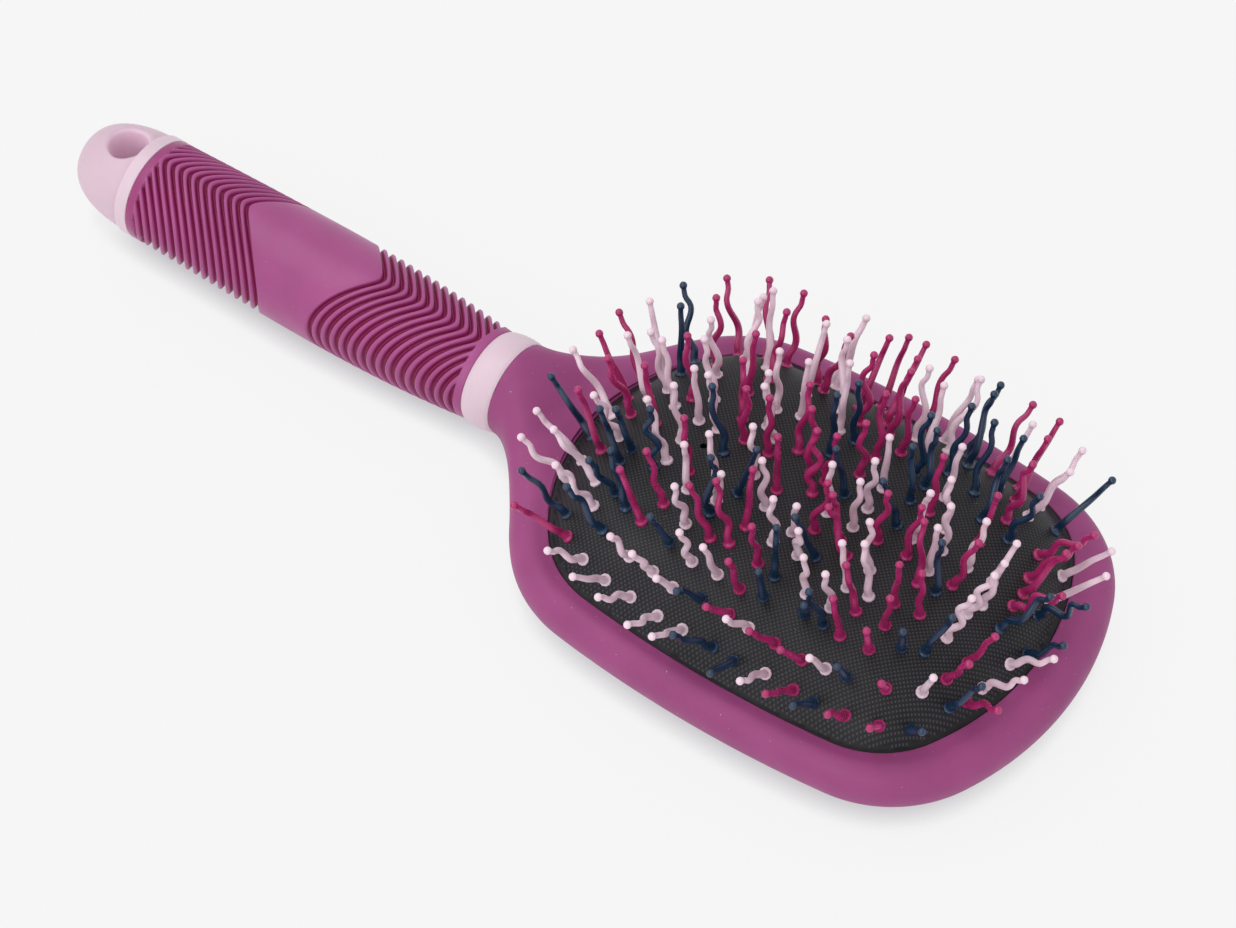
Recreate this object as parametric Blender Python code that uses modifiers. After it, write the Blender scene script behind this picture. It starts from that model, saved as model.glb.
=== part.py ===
"""Mane and tail brush: oval paddle, domed rubber cushion with wavy pins, ribbed grip and end cap."""
import math
import random

import bmesh
import bpy
from mathutils import Matrix, Vector
from mathutils.geometry import delaunay_2d_cdt

MM = 0.001
CLEARANCE = 0.3         # between pieces that touch

# cushion pad outline at its edge, from the pad's centre
PAD_TIP = 51.4
PAD_HANDLE = 53.2
PAD_HALF = 38.2
PAD_WIDEST = 0.7        # widest point ahead of the pad centre
TIP_RADIUS = 56.0
HANDLE_RADIUS = 44.0
SIDE_RADIUS = 250.0
TIP_CORNER = 20.0
HANDLE_CORNER = 22.0

# cushion pad dome and membrane
PAD_EDGE_Z = 14.6
DOME_RISE = 14.1
DOME_SPREAD = 8.1
PAD_BORDER = 0.9        # border of the pad outside the pin slices
SKIN = 0.9              # thickness of the skin slices that carry the pins
UNDER_GAP = 0.55        # upright gap between a slice and the membrane
SLICE_GAP = 0.6
MEMBRANE = 1.1
BEAD_REACH = 1.7        # bead of the pad beyond the pad's edge
BEAD_BOTTOM = 10.6
BEAD_HEIGHT = 1.8
SKIRT = 1.9             # inner side of the pad's skirt, in from its edge
VENT_RADIUS = 0.7

# pins: rings in from the pad's edge, and a straight row along the middle
FIRST_ROW = 3.8
SECOND_ROW = 8.6
ROW_COUNTS = (45, 41, 37, 30, 26, 18)
VENT_ROW = 4            # the ring whose pin at the handle end is left out for the vent
CENTRE_PINS = 6
CENTRE_TIP = 15.8
CENTRE_HANDLE = 13.6
CENTRE_HALF = 3.2       # half width of the dome's flat top
PIN_LENGTH = 16.4       # foot to ball centre
PIN_FLARE = 1.25
PIN_BASE = 0.78
PIN_MID = 0.62
PIN_TOP = 0.5
BALL_RADIUS = 0.85
PIN_WAVE = 0.95
PIN_PERIODS = 1.1
LEAN_SHARE = 0.93       # of the dome's slope under the pin
PIN_SEED = 11

# paddle head, outline at its widest and section of its rim and back
HEAD_TIP = 60.3
HEAD_HANDLE = 62.0
RIM_REACH = 6.8
HEAD_TIP_RADIUS = 66.0
HEAD_HANDLE_RADIUS = 50.0
HEAD_TIP_CORNER = 28.0
HEAD_HANDLE_CORNER = 28.5
RIM_CROWN = 2.6         # top of the rim, out from the pad's edge
RIM_CROWN_Z = 16.25
RIM_WIDEST_Z = 10.9
BACK_FLAT = 24.0        # where the back has become flat, in from the pad's edge
BACK_POWER = 2.5
LIP_EASE = 0.8
RECESS_FLOOR = 6.6
FLOOR_COVE = 2.0

# neck, collar, grip and end cap, in order towards the end
NECK_LENGTH = 10.3
NECK_RADIUS = 10.2
NECK_MIDDLE_Z = 13.1
NECK_DEEP = 13.0        # how far the neck's flare runs on inside the head
NECK_SPREAD = 26.0
NECK_INNER_TOP = 15.0
NECK_INNER_BOTTOM = 4.8
TANG_RADIUS = 6.2
COLLAR_LENGTH = 7.0
COLLAR_SWELL = 0.5
GRIP_LENGTH = 88.2
GRIP_BELLY = 12.3
GRIP_BELLY_AT = 42.7    # from the grip's head end
GRIP_HEAD_RADIUS = 10.1
GRIP_CAP_RADIUS = 11.55
GRIP_HEAD_POWER = 2.3
GRIP_CAP_POWER = 1.6
HEAD_MARGIN = 1.7
CAP_MARGIN = 1.9
HEAD_FIELD = 25.5       # rib fields along the top line
CAP_FIELD = 23.1
RIB_PITCH = 2.1
RIB_DEPTH = 1.2
CAP_LENGTH = 19.3
CAP_RING = 3.0
CAP_RING_RISE = 0.1
CAP_STEP = 0.3
CAP_FULLNESS = 0.66     # below 1 the dome is fuller than a half ball
HOLE_FROM_END = 11.6
HOLE_RADIUS = 4.3
HOLE_WALL = 1.2         # between the hole and the tang's socket

HEAD_SPLIT = (4, 7, 6)  # steps on the end, corner and side arcs of a quarter
PAD_SPLIT = (3, 5, 4)
GRIP_SIDES = 24
ROUND_SIDES = 32

# stations along x from the pad's centre, and the brush's middle
NECK_START = -HEAD_HANDLE - NECK_LENGTH
COLLAR_START = NECK_START - COLLAR_LENGTH
GRIP_START = COLLAR_START - GRIP_LENGTH
CAP_END = GRIP_START - CAP_LENGTH
HOLE_X = CAP_END + HOLE_FROM_END
TANG_END = HOLE_X + HOLE_RADIUS + HOLE_WALL + CLEARANCE
PAD_X = -(HEAD_TIP + CAP_END) / 2
AXIS_Z = GRIP_BELLY

ROWS = len(ROW_COUNTS)
ROW_STEP = (PAD_HALF - SECOND_ROW) / (ROWS - 1)
ROW_DEPTHS = [FIRST_ROW] + [SECOND_ROW + ROW_STEP * i for i in range(ROWS - 1)]
SLICE_EDGES = [PAD_BORDER + SLICE_GAP / 2] + [(a + b) / 2 for a, b in zip(ROW_DEPTHS, ROW_DEPTHS[1:])]
CENTRE_DEPTH = PAD_HALF - CENTRE_HALF


def clear_scene():
    for thing in list(bpy.data.objects):
        bpy.data.objects.remove(thing, do_unlink=True)


def collection(name):
    group = bpy.data.collections.new(name)
    bpy.context.scene.collection.children.link(group)
    return group


def material(name, colour, rough):
    mat = bpy.data.materials.new(name)
    mat.use_nodes = True
    shader = mat.node_tree.nodes["Principled BSDF"]
    shader.inputs["Base Color"].default_value = (*colour, 1.0)
    shader.inputs["Roughness"].default_value = rough
    return mat


def lay_in(mesh, name, group, mat, centre):
    """Object whose origin is at centre, from a mesh in millimetres measured from the pad centre."""
    data = bpy.data.meshes.new(name)
    for v in mesh.verts:
        v.co = (v.co - Vector(centre)) * MM
    bmesh.ops.recalc_face_normals(mesh, faces=mesh.faces)
    mesh.to_mesh(data)
    mesh.free()
    thing = bpy.data.objects.new(name, data)
    thing.location = Vector((centre[0] + PAD_X, centre[1], centre[2])) * MM
    group.objects.link(thing)
    if mat:
        data.materials.append(mat)
    return thing


def quarter(a, b, end_r, side_r, corner_r, split):
    """Three tangent arcs from (a, 0) to (0, b)."""
    end = Vector((a - end_r, 0.0))
    side = Vector((0.0, b - side_r))
    r1, r2 = end_r - corner_r, side_r - corner_r
    gap = (side - end).length
    along = (side - end) / gap
    t = (r1 * r1 - r2 * r2 + gap * gap) / (2 * gap)
    h = math.sqrt(r1 * r1 - t * t)
    across = Vector((-along.y, along.x))
    corner = max((end + along * t + across * h, end + along * t - across * h), key=lambda c: c.x + c.y)
    a1 = math.atan2((corner - end).y, (corner - end).x)
    a2 = math.atan2((corner - side).y, (corner - side).x)
    points = []
    arcs = ((end, end_r, 0.0, a1), (corner, corner_r, a1, a2), (side, side_r, a2, math.pi / 2))
    for (c, r, start, stop), n in zip(arcs, split):
        for i in range(n):
            th = start + (stop - start) * i / n
            points.append((c.x + r * math.cos(th), c.y + r * math.sin(th)))
    return points, (0.0, b)


def contour(depth, split, rim=False):
    """Pad outline at a depth inside its edge, outside it where negative, counterclockwise from the tip.

    On the rim it grows into the outline of the head at its widest.
    """
    if depth < 0:
        half = PAD_HALF - depth
        share = -depth / RIM_REACH if rim else 0.0
        grow = 0.0 if rim else -depth
        tip = PAD_TIP + grow + share * (HEAD_TIP - PAD_TIP)
        handle = PAD_HANDLE + grow + share * (HEAD_HANDLE - PAD_HANDLE)
        radii = (TIP_RADIUS + grow + share * (HEAD_TIP_RADIUS - TIP_RADIUS),
                 HANDLE_RADIUS + grow + share * (HEAD_HANDLE_RADIUS - HANDLE_RADIUS))
        side = SIDE_RADIUS - depth
        corners = (TIP_CORNER + grow + share * (HEAD_TIP_CORNER - TIP_CORNER),
                   HANDLE_CORNER + grow + share * (HEAD_HANDLE_CORNER - HANDLE_CORNER))
    else:
        tip = PAD_TIP - (PAD_TIP - CENTRE_TIP) * depth / PAD_HALF
        handle = PAD_HANDLE - (PAD_HANDLE - CENTRE_HANDLE) * depth / PAD_HALF
        half = PAD_HALF - depth
        radii = (TIP_RADIUS, HANDLE_RADIUS)
        side = SIDE_RADIUS
        fade = max(1 - depth / CENTRE_DEPTH, 0.03)
        corners = (TIP_CORNER * fade, HANDLE_CORNER * fade)
    front, top = quarter(tip - PAD_WIDEST, half, radii[0], side, corners[0], split)
    back, _ = quarter(handle + PAD_WIDEST, half, radii[1], side, corners[1], split)
    upper = front + [top] + [(-x, y) for x, y in reversed(back)]
    lower = [(x, -y) for x, y in reversed(upper[1:-1])]
    return [(x + PAD_WIDEST, y) for x, y in upper + lower]


def dome(depth):
    return PAD_EDGE_Z + DOME_RISE * (1 - math.exp(-depth / DOME_SPREAD))


def slope(depth):
    return DOME_RISE / DOME_SPREAD * math.exp(-depth / DOME_SPREAD)


def bands(mesh, rings, close):
    """Quads between rings of equal length; close joins the last ring to the first."""
    n = len(rings[0])
    pairs = list(zip(rings, rings[1:])) + ([(rings[-1], rings[0])] if close else [])
    for low, high in pairs:
        for i in range(n):
            j = (i + 1) % n
            mesh.faces.new((low[i], low[j], high[j], high[i]))


def ring_at(mesh, depth, z, split, rim=False):
    return [mesh.verts.new((x, y, z)) for x, y in contour(depth, split, rim)]


def contour_solid(profile, split, rim=False):
    """Solid of contours (depth, z) with flat ends."""
    mesh = bmesh.new()
    rings = [ring_at(mesh, d, z, split, rim) for d, z in profile]
    bands(mesh, rings, False)
    mesh.faces.new(rings[0])
    mesh.faces.new(rings[-1])
    return mesh


def grip_radius(x):
    belly = COLLAR_START - GRIP_BELLY_AT
    if x > belly:
        return GRIP_BELLY - (GRIP_BELLY - GRIP_HEAD_RADIUS) * ((x - belly) / GRIP_BELLY_AT) ** GRIP_HEAD_POWER
    share = (belly - x) / (GRIP_LENGTH - GRIP_BELLY_AT)
    return GRIP_BELLY - (GRIP_BELLY - GRIP_CAP_RADIUS) * share ** GRIP_CAP_POWER


def circle(mesh, x, radius, sides, z=None):
    ring = []
    middle = AXIS_Z if z is None else z
    for i in range(sides):
        a = 2 * math.pi * i / sides
        ring.append(mesh.verts.new((x, radius * math.sin(a), middle + radius * math.cos(a))))
    return ring


def rod(radius, start, end, sides, along_x):
    """Cylinder between two stations, along x on the handle's axis or upright at the origin."""
    mesh = bmesh.new()
    bmesh.ops.create_cone(mesh, cap_ends=True, segments=sides, radius1=radius, radius2=radius,
                          depth=end - start)
    shift = Matrix.Translation((0, 0, (start + end) / 2))
    if along_x:
        shift = Matrix.Translation((0, 0, AXIS_Z)) @ Matrix.Rotation(math.pi / 2, 4, "Y") @ shift
    bmesh.ops.transform(mesh, matrix=shift, verts=mesh.verts)
    return mesh


def screwed(name, group, mat, profile, x, z):
    """Turned piece: a profile of (station, radius) from one end on the axis to the other."""
    data = bpy.data.meshes.new(name)
    points = [(r * MM, 0.0, (s - x) * MM) for s, r in profile]
    data.from_pydata(points, [(i, i + 1) for i in range(len(points) - 1)], [])
    thing = bpy.data.objects.new(name, data)
    thing.location = Vector((x + PAD_X, 0.0, z)) * MM
    thing.rotation_euler = (0.0, math.pi / 2, 0.0)
    group.objects.link(thing)
    screw = thing.modifiers.new("turn", "SCREW")
    screw.axis = "Z"
    screw.steps = screw.render_steps = ROUND_SIDES
    screw.use_merge_vertices = True
    screw.merge_threshold = 0.00001
    screw.use_smooth_shade = True
    if mat:
        data.materials.append(mat)
    return thing


def combine(target, tool, how):
    mod = target.modifiers.new(tool.name, "BOOLEAN")
    mod.operation = how
    mod.solver = "EXACT"
    mod.object = tool
    tool.hide_render = True
    tool.display_type = "WIRE"


def smooth(thing, angle):
    for face in thing.data.polygons:
        face.use_smooth = True
    thing.data.set_sharp_from_angle(angle=math.radians(angle))


def ease(share):
    return share * share * (3 - 2 * share)


def neck_section(mesh, x, half_w, top, bottom, power, sides):
    ring = []
    for i in range(sides):
        a = 2 * math.pi * i / sides
        c, s = math.cos(a), math.sin(a)
        y = half_w * math.copysign(abs(s) ** (2 / power), s)
        half_h = (top - bottom) / 2
        z = (top + bottom) / 2 + half_h * math.copysign(abs(c) ** (2 / power), c)
        ring.append(mesh.verts.new((x, y, z)))
    return ring


def row_points(depth, count, phase):
    """Points at equal steps along a row, with the row's outward directions."""
    line = [Vector(p) for p in contour(depth, (24, 24, 24))]
    steps = [(line[(i + 1) % len(line)] - p).length for i, p in enumerate(line)]
    total = sum(steps)
    out = []
    for k in range(count):
        want = (k + phase) / count * total
        i = 0
        while want > steps[i]:
            want -= steps[i]
            i += 1
        a, b = line[i], line[(i + 1) % len(line)]
        way = (b - a).normalized()
        out.append((a + way * want, Vector((way.y, -way.x))))
    return out


def pin(mesh, foot, lean, outward, turn, wavy):
    """Three-sided wavy stem with a ball end; returns its foot ring."""
    up = Vector((outward.x * math.sin(lean), outward.y * math.sin(lean), math.cos(lean)))
    side = up.cross(Vector((0, 1, 0)) if abs(up.y) < 0.9 else Vector((1, 0, 0))).normalized()
    other = up.cross(side)
    bend = side * math.cos(turn) + other * math.sin(turn)
    levels = ((0.0, PIN_FLARE), (0.3, PIN_BASE), (0.58, PIN_MID), (0.86, PIN_TOP), (0.985, BALL_RADIUS))
    rings = []
    for share, radius in levels:
        sway = wavy * PIN_WAVE * math.sin(2 * math.pi * PIN_PERIODS * share) * min(1.0, share * 5)
        centre = foot + up * (share * PIN_LENGTH) + bend * sway
        ring = []
        for i in range(3):
            a = turn + 2 * math.pi * i / 3
            spot = centre + (side * math.cos(a) + other * math.sin(a)) * radius
            if share == 0.0:
                spot.z = foot.z - (spot.xy - foot.xy).dot(outward) * math.tan(lean)
            ring.append(mesh.verts.new(spot))
        rings.append(ring)
    bands(mesh, rings, False)
    sway = wavy * PIN_WAVE * math.sin(2 * math.pi * PIN_PERIODS)
    tip = mesh.verts.new(foot + up * (PIN_LENGTH + BALL_RADIUS) + bend * sway)
    for i in range(3):
        mesh.faces.new((rings[-1][i], rings[-1][(i + 1) % 3], tip))
    return rings[0]


def skin_top(mesh, outer, inner, feet):
    """Top of a slice between its edges, left open under each pin."""
    verts = list(outer) + list(inner) + [v for ring in feet for v in ring]
    flat = [v.co.xy for v in verts]
    edges, loops, start = [], [len(outer), len(inner)] + [3] * len(feet), 0
    for n in loops:
        edges += [(start + i, start + (i + 1) % n) for i in range(n)]
        start += n
    tris = delaunay_2d_cdt(flat, edges, [], 0, 1e-6)[2]
    a, b = len(outer), len(outer) + len(inner)
    for tri in tris:
        if inner and all(a <= i < b for i in tri):
            continue
        if all(i >= b for i in tri) and len({(i - b) // 3 for i in tri}) == 1:
            continue
        mesh.faces.new([verts[i] for i in tri])


def pin_ring(index, rng):
    """Skin slice of one row with its pins, as one body."""
    mesh = bmesh.new()
    first = SLICE_EDGES[index] + SLICE_GAP / 2
    last = index == len(SLICE_EDGES) - 1
    outer = ring_at(mesh, first, dome(first), PAD_SPLIT)
    outer_low = ring_at(mesh, first, dome(first) - SKIN, PAD_SPLIT)
    depth, count = ROW_DEPTHS[index], ROW_COUNTS[index]
    phase = 0.5 if count % 2 else 0.0
    feet = []
    for k, (spot, outward) in enumerate(row_points(depth, count, phase)):
        if index == VENT_ROW and k == count // 2:
            continue
        foot = Vector((spot.x, spot.y, dome(depth)))
        lean = math.atan(slope(depth)) * LEAN_SHARE
        wavy = 0.15 if rng.random() < 0.12 else 1.0
        feet.append(pin(mesh, foot, lean, outward, rng.uniform(0, 2 * math.pi), wavy))
    if last:
        for k in range(CENTRE_PINS):
            x = -CENTRE_HANDLE + (CENTRE_TIP + CENTRE_HANDLE) * k / (CENTRE_PINS - 1)
            foot = Vector((x, 0.0, dome(CENTRE_DEPTH)))
            feet.append(pin(mesh, foot, 0.0, Vector((1, 0)), rng.uniform(0, 2 * math.pi), 1.0))
        skin_top(mesh, outer, [], feet)
        bands(mesh, [outer, outer_low], False)
        inner_low = ring_at(mesh, CENTRE_DEPTH, dome(CENTRE_DEPTH) - SKIN, PAD_SPLIT)
        bands(mesh, [outer_low, inner_low], False)
        mesh.faces.new(inner_low)
        return mesh
    stop = SLICE_EDGES[index + 1] - SLICE_GAP / 2
    inner = ring_at(mesh, stop, dome(stop), PAD_SPLIT)
    inner_low = ring_at(mesh, stop, dome(stop) - SKIN, PAD_SPLIT)
    skin_top(mesh, outer, inner, feet)
    bands(mesh, [outer, outer_low, inner_low, inner], False)
    return mesh


def cushion():
    """Rubber membrane with a skirt and an outward bead, domed below the pin slices."""
    drop = SKIN + UNDER_GAP
    depths = [PAD_BORDER] + SLICE_EDGES[1:] + [CENTRE_DEPTH]
    mesh = bmesh.new()
    bead_top = BEAD_BOTTOM + BEAD_HEIGHT
    side = [(SKIRT, BEAD_BOTTOM), (-BEAD_REACH, BEAD_BOTTOM), (-BEAD_REACH, bead_top), (0.0, bead_top),
            (0.0, PAD_EDGE_Z - 0.3), (0.2, PAD_EDGE_Z + 0.3), (PAD_BORDER, dome(PAD_BORDER))]
    top = [(d, dome(d) - drop) for d in depths]
    under = [(d, dome(d) - drop - MEMBRANE) for d in [SKIRT] + depths[1:]]
    rings = [ring_at(mesh, d, z, PAD_SPLIT) for d, z in list(reversed(under)) + side + top]
    bands(mesh, rings, False)
    mesh.faces.new(rings[0])
    mesh.faces.new(rings[-1])
    return mesh


def head():
    """Head body round the pad, closed, before its recess is cut."""
    profile = []
    for turn in (90, 60, 36, 16):
        a = math.radians(turn)
        profile.append((-RIM_CROWN - (RIM_REACH - RIM_CROWN) * math.cos(a),
                        RIM_WIDEST_Z + (RIM_CROWN_Z - RIM_WIDEST_Z) * math.sin(a)))
    for share in (0.0, 0.011, 0.045, 0.12, 0.24, 0.4, 0.6, 0.8, 1.0):
        reach = (RIM_REACH + BACK_FLAT) * (1 - share)
        out = reach / (RIM_REACH + BACK_FLAT)
        drop = (1 - out ** BACK_POWER) ** (1 / BACK_POWER)
        profile.append((BACK_FLAT - reach, RIM_WIDEST_Z * (1 - drop)))
    lid = [(BACK_FLAT / 2, RIM_CROWN_Z - 0.6), (2.0, RIM_CROWN_Z - 0.4), (-0.7, RIM_CROWN_Z - 0.3)]
    return contour_solid(lid + profile, HEAD_SPLIT, True)


def recess():
    """Space for the pad: floor, wall, groove for the bead and the lip's opening."""
    wall = -CLEARANCE
    groove = -BEAD_REACH - CLEARANCE
    low, high = BEAD_BOTTOM - CLEARANCE, BEAD_BOTTOM + BEAD_HEIGHT + CLEARANCE
    profile = [(FLOOR_COVE, RECESS_FLOOR), (wall, RECESS_FLOOR + FLOOR_COVE), (wall, low), (groove, low),
               (groove, high), (wall, high), (wall, RIM_CROWN_Z - LIP_EASE - 0.35),
               (wall - LIP_EASE, RIM_CROWN_Z + 0.2), (wall - LIP_EASE, RIM_CROWN_Z + 3)]
    return contour_solid(profile, HEAD_SPLIT)


def neck():
    """Flare from the round collar end into the head."""
    mesh = bmesh.new()
    rings = []
    end = -HEAD_HANDLE + NECK_DEEP
    for share in (0.0, 0.12, 0.25, 0.38, 0.5, 0.63, 0.78, 1.0):
        e = ease(share)
        top = NECK_MIDDLE_Z + NECK_RADIUS
        bottom = NECK_MIDDLE_Z - NECK_RADIUS
        rings.append(neck_section(mesh, NECK_START + (end - NECK_START) * share,
                                  NECK_RADIUS + (NECK_SPREAD - NECK_RADIUS) * e,
                                  top + (NECK_INNER_TOP - top) * e,
                                  bottom + (NECK_INNER_BOTTOM - bottom) * e, 2 + 0.8 * e, ROUND_SIDES))
    bands(mesh, rings, False)
    mesh.faces.new(rings[0])
    mesh.faces.new(rings[-1])
    return mesh


def grip():
    """Sleeve with two fields of oblique ribs and a smooth panel between them."""
    mesh = bmesh.new()
    sides = GRIP_SIDES
    half = RIB_PITCH / 2
    cap_clip = GRIP_START + CAP_MARGIN
    head_clip = COLLAR_START - HEAD_MARGIN
    cap_apex = cap_clip + CAP_FIELD
    head_apex = head_clip - HEAD_FIELD
    bore = TANG_RADIUS + CLEARANCE
    cap_lines = int((CAP_FIELD + GRIP_BELLY) / half)
    head_lines = int((HEAD_FIELD + GRIP_BELLY) / half)
    lines = [(cap_apex - i * half, 1, i % 2 == 1, cap_clip) for i in range(cap_lines, -1, -1)]
    lines += [(head_apex + i * half, -1, i % 2 == 1, head_clip) for i in range(head_lines + 1)]
    rings = [circle(mesh, GRIP_START, bore, sides), circle(mesh, GRIP_START, GRIP_CAP_RADIUS - 0.3, sides),
             circle(mesh, cap_clip, grip_radius(cap_clip), sides)]
    for apex, way, groove, clip in lines:
        ring = []
        for k in range(sides):
            a = 2 * math.pi * k / sides
            x = apex + way * grip_radius(max(GRIP_START, min(COLLAR_START, apex))) * abs(math.sin(a))
            held = (x - clip) * way <= 0.01
            x = clip if held else x
            r = grip_radius(x) - (RIB_DEPTH if groove and not held else 0.0)
            ring.append(mesh.verts.new((x, r * math.sin(a), AXIS_Z + r * math.cos(a))))
        rings.append(ring)
    rings += [circle(mesh, head_clip, grip_radius(head_clip), sides),
              circle(mesh, COLLAR_START, GRIP_HEAD_RADIUS - 0.3, sides),
              circle(mesh, COLLAR_START, bore, sides)]
    bands(mesh, rings, True)
    bmesh.ops.remove_doubles(mesh, verts=mesh.verts, dist=1e-4)
    return mesh


def collar():
    """Ring between the grip and the neck, rising a little towards the neck."""
    mesh = bmesh.new()
    a, b = COLLAR_START + CLEARANCE, NECK_START - CLEARANCE
    bore = TANG_RADIUS + CLEARANCE
    rings = [circle(mesh, a, bore, ROUND_SIDES)]
    for share, swell in ((0.0, -0.4), (0.14, 0.6), (0.5, 1.0), (0.86, 0.7), (1.0, 0.0)):
        r = GRIP_HEAD_RADIUS + (NECK_RADIUS - GRIP_HEAD_RADIUS) * share + swell * COLLAR_SWELL
        z = AXIS_Z + (NECK_MIDDLE_Z - AXIS_Z) * share
        rings.append(circle(mesh, a + (b - a) * share, r, ROUND_SIDES, z))
    rings.append(circle(mesh, b, bore, ROUND_SIDES))
    bands(mesh, rings, True)
    return mesh


def cap_profile():
    """Cap from the middle of its socket round its face, ring and dome to its end."""
    face = GRIP_START - CLEARANCE
    ring_r = GRIP_CAP_RADIUS + CAP_RING_RISE
    ring_end = GRIP_START - CAP_RING
    bore = TANG_RADIUS + CLEARANCE
    socket = min(TANG_END - CLEARANCE, face - 0.5)
    stations = [(socket, 0.0), (socket, bore), (face, bore), (face, ring_r - CAP_STEP),
                (face - CAP_STEP, ring_r), (ring_end + CAP_STEP, ring_r), (ring_end, ring_r - CAP_STEP)]
    length, r = ring_end - CAP_END, ring_r - CAP_STEP
    steps = 8
    for i in range(1, steps):
        a = math.pi / 2 * i / steps
        stations.append((ring_end - length * math.sin(a), r * math.cos(a) ** CAP_FULLNESS))
    return stations + [(CAP_END, 0.0)]


PAINT = {
    "paddle": ((0.34, 0.08, 0.22), 0.55),
    "cushion_pad": ((0.026, 0.027, 0.028), 0.75),
    "pin_ring": ((0.45, 0.03, 0.15), 0.3),
    "collar": ((0.73, 0.55, 0.65), 0.4),
    "end_cap": ((0.73, 0.55, 0.65), 0.4),
    "grip_sleeve": ((0.40, 0.055, 0.22), 0.6),
}


def build():
    clear_scene()
    parts = collection("mane_tail_brush")
    cutters = collection("cutters")
    middle = (0.0, 0.0, PAD_EDGE_Z)

    paddle = lay_in(head(), "paddle", parts, material("paddle", *PAINT["paddle"]), middle)
    combine(paddle, lay_in(neck(), "neck_flare", cutters, None, middle), "UNION")
    tang = rod(TANG_RADIUS, TANG_END, -HEAD_HANDLE, ROUND_SIDES, True)
    combine(paddle, lay_in(tang, "tang_rod", cutters, None, middle), "UNION")
    combine(paddle, lay_in(recess(), "pad_recess", cutters, None, middle), "DIFFERENCE")
    smooth(paddle, 35)

    pad = lay_in(cushion(), "cushion_pad", parts, material("cushion_pad", *PAINT["cushion_pad"]), middle)
    smooth(pad, 35)
    vent_x = row_points(ROW_DEPTHS[VENT_ROW], ROW_COUNTS[VENT_ROW], 0.0)[ROW_COUNTS[VENT_ROW] // 2][0].x
    drill = rod(VENT_RADIUS, PAD_EDGE_Z, PAD_EDGE_Z + DOME_RISE + 5, 12, False)
    bmesh.ops.translate(drill, vec=(vent_x, 0, 0), verts=drill.verts)
    vent = lay_in(drill, "vent_drill", cutters, None, middle)
    combine(pad, vent, "DIFFERENCE")
    rng = random.Random(PIN_SEED)
    for index in range(ROWS):
        name = "pin_ring_%d" % (index + 1)
        ring = lay_in(pin_ring(index, rng), name, parts, material(name, *PAINT["pin_ring"]),
                      (0.0, 0.0, dome(ROW_DEPTHS[index])))
        if index == VENT_ROW:
            combine(ring, vent, "DIFFERENCE")

    smooth(lay_in(collar(), "collar", parts, material("collar", *PAINT["collar"]),
                  (COLLAR_START, 0.0, AXIS_Z)), 40)
    lay_in(grip(), "grip_sleeve", parts, material("grip_sleeve", *PAINT["grip_sleeve"]),
           (COLLAR_START - GRIP_LENGTH / 2, 0.0, AXIS_Z))
    cap = screwed("end_cap", parts, material("end_cap", *PAINT["end_cap"]), cap_profile(), HOLE_X, AXIS_Z)
    punch = rod(HOLE_RADIUS, -4.0, 2 * AXIS_Z + 4, ROUND_SIDES, False)
    bmesh.ops.translate(punch, vec=(HOLE_X, 0, 0), verts=punch.verts)
    combine(cap, lay_in(punch, "hang_hole", cutters, None, middle), "DIFFERENCE")


build()
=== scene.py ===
import math

import bmesh
import bpy
import numpy as np
from mathutils import Matrix, Vector
from mathutils.geometry import delaunay_2d_cdt


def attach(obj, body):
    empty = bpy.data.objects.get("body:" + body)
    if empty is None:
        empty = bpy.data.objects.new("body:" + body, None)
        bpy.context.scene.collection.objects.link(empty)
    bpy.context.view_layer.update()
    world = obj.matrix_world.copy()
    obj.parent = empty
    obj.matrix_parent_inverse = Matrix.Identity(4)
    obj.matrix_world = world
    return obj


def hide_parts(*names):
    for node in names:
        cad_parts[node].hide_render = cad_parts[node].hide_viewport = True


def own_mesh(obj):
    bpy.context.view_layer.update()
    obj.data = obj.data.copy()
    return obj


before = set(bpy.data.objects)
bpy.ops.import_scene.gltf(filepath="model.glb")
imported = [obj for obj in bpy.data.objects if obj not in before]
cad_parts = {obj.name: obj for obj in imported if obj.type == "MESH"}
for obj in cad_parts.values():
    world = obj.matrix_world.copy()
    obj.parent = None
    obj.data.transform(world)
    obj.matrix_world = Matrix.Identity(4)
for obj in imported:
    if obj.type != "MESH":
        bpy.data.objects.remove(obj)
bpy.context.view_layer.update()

MM = 0.001

# in millimetres from the pad's centre, as in the solids but for BALL_RADIUS (0.85 there), HEAD_FIELD (25.5),
# CAP_FIELD (23.1) and RIB_PITCH (2.1)
PAD_TIP, PAD_HANDLE, PAD_HALF, PAD_WIDEST = 51.4, 53.2, 38.2, 0.7
TIP_RADIUS, HANDLE_RADIUS, SIDE_RADIUS = 56.0, 44.0, 250.0
TIP_CORNER, HANDLE_CORNER = 20.0, 22.0
PAD_EDGE_Z, DOME_RISE, DOME_SPREAD = 14.6, 14.1, 8.1
BEAD_REACH, BEAD_BOTTOM, BEAD_HEIGHT, SKIRT = 1.7, 10.6, 1.8, 1.9
VENT_RADIUS = 0.7
ROW_COUNTS = (45, 41, 37, 30, 26, 18)
FIRST_ROW, SECOND_ROW = 3.8, 8.6
VENT_ROW = 4
CENTRE_PINS, CENTRE_TIP, CENTRE_HANDLE, CENTRE_HALF = 6, 15.8, 13.6, 3.2
PIN_LENGTH, BALL_RADIUS = 16.4, 0.84
HEAD_TIP, HEAD_HANDLE, RIM_REACH = 60.3, 62.0, 6.8
HEAD_TIP_RADIUS, HEAD_HANDLE_RADIUS, HEAD_TIP_CORNER, HEAD_HANDLE_CORNER = 66.0, 50.0, 28.0, 28.5
RIM_CROWN, RIM_CROWN_Z, RIM_WIDEST_Z = 2.6, 16.25, 10.9
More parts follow.
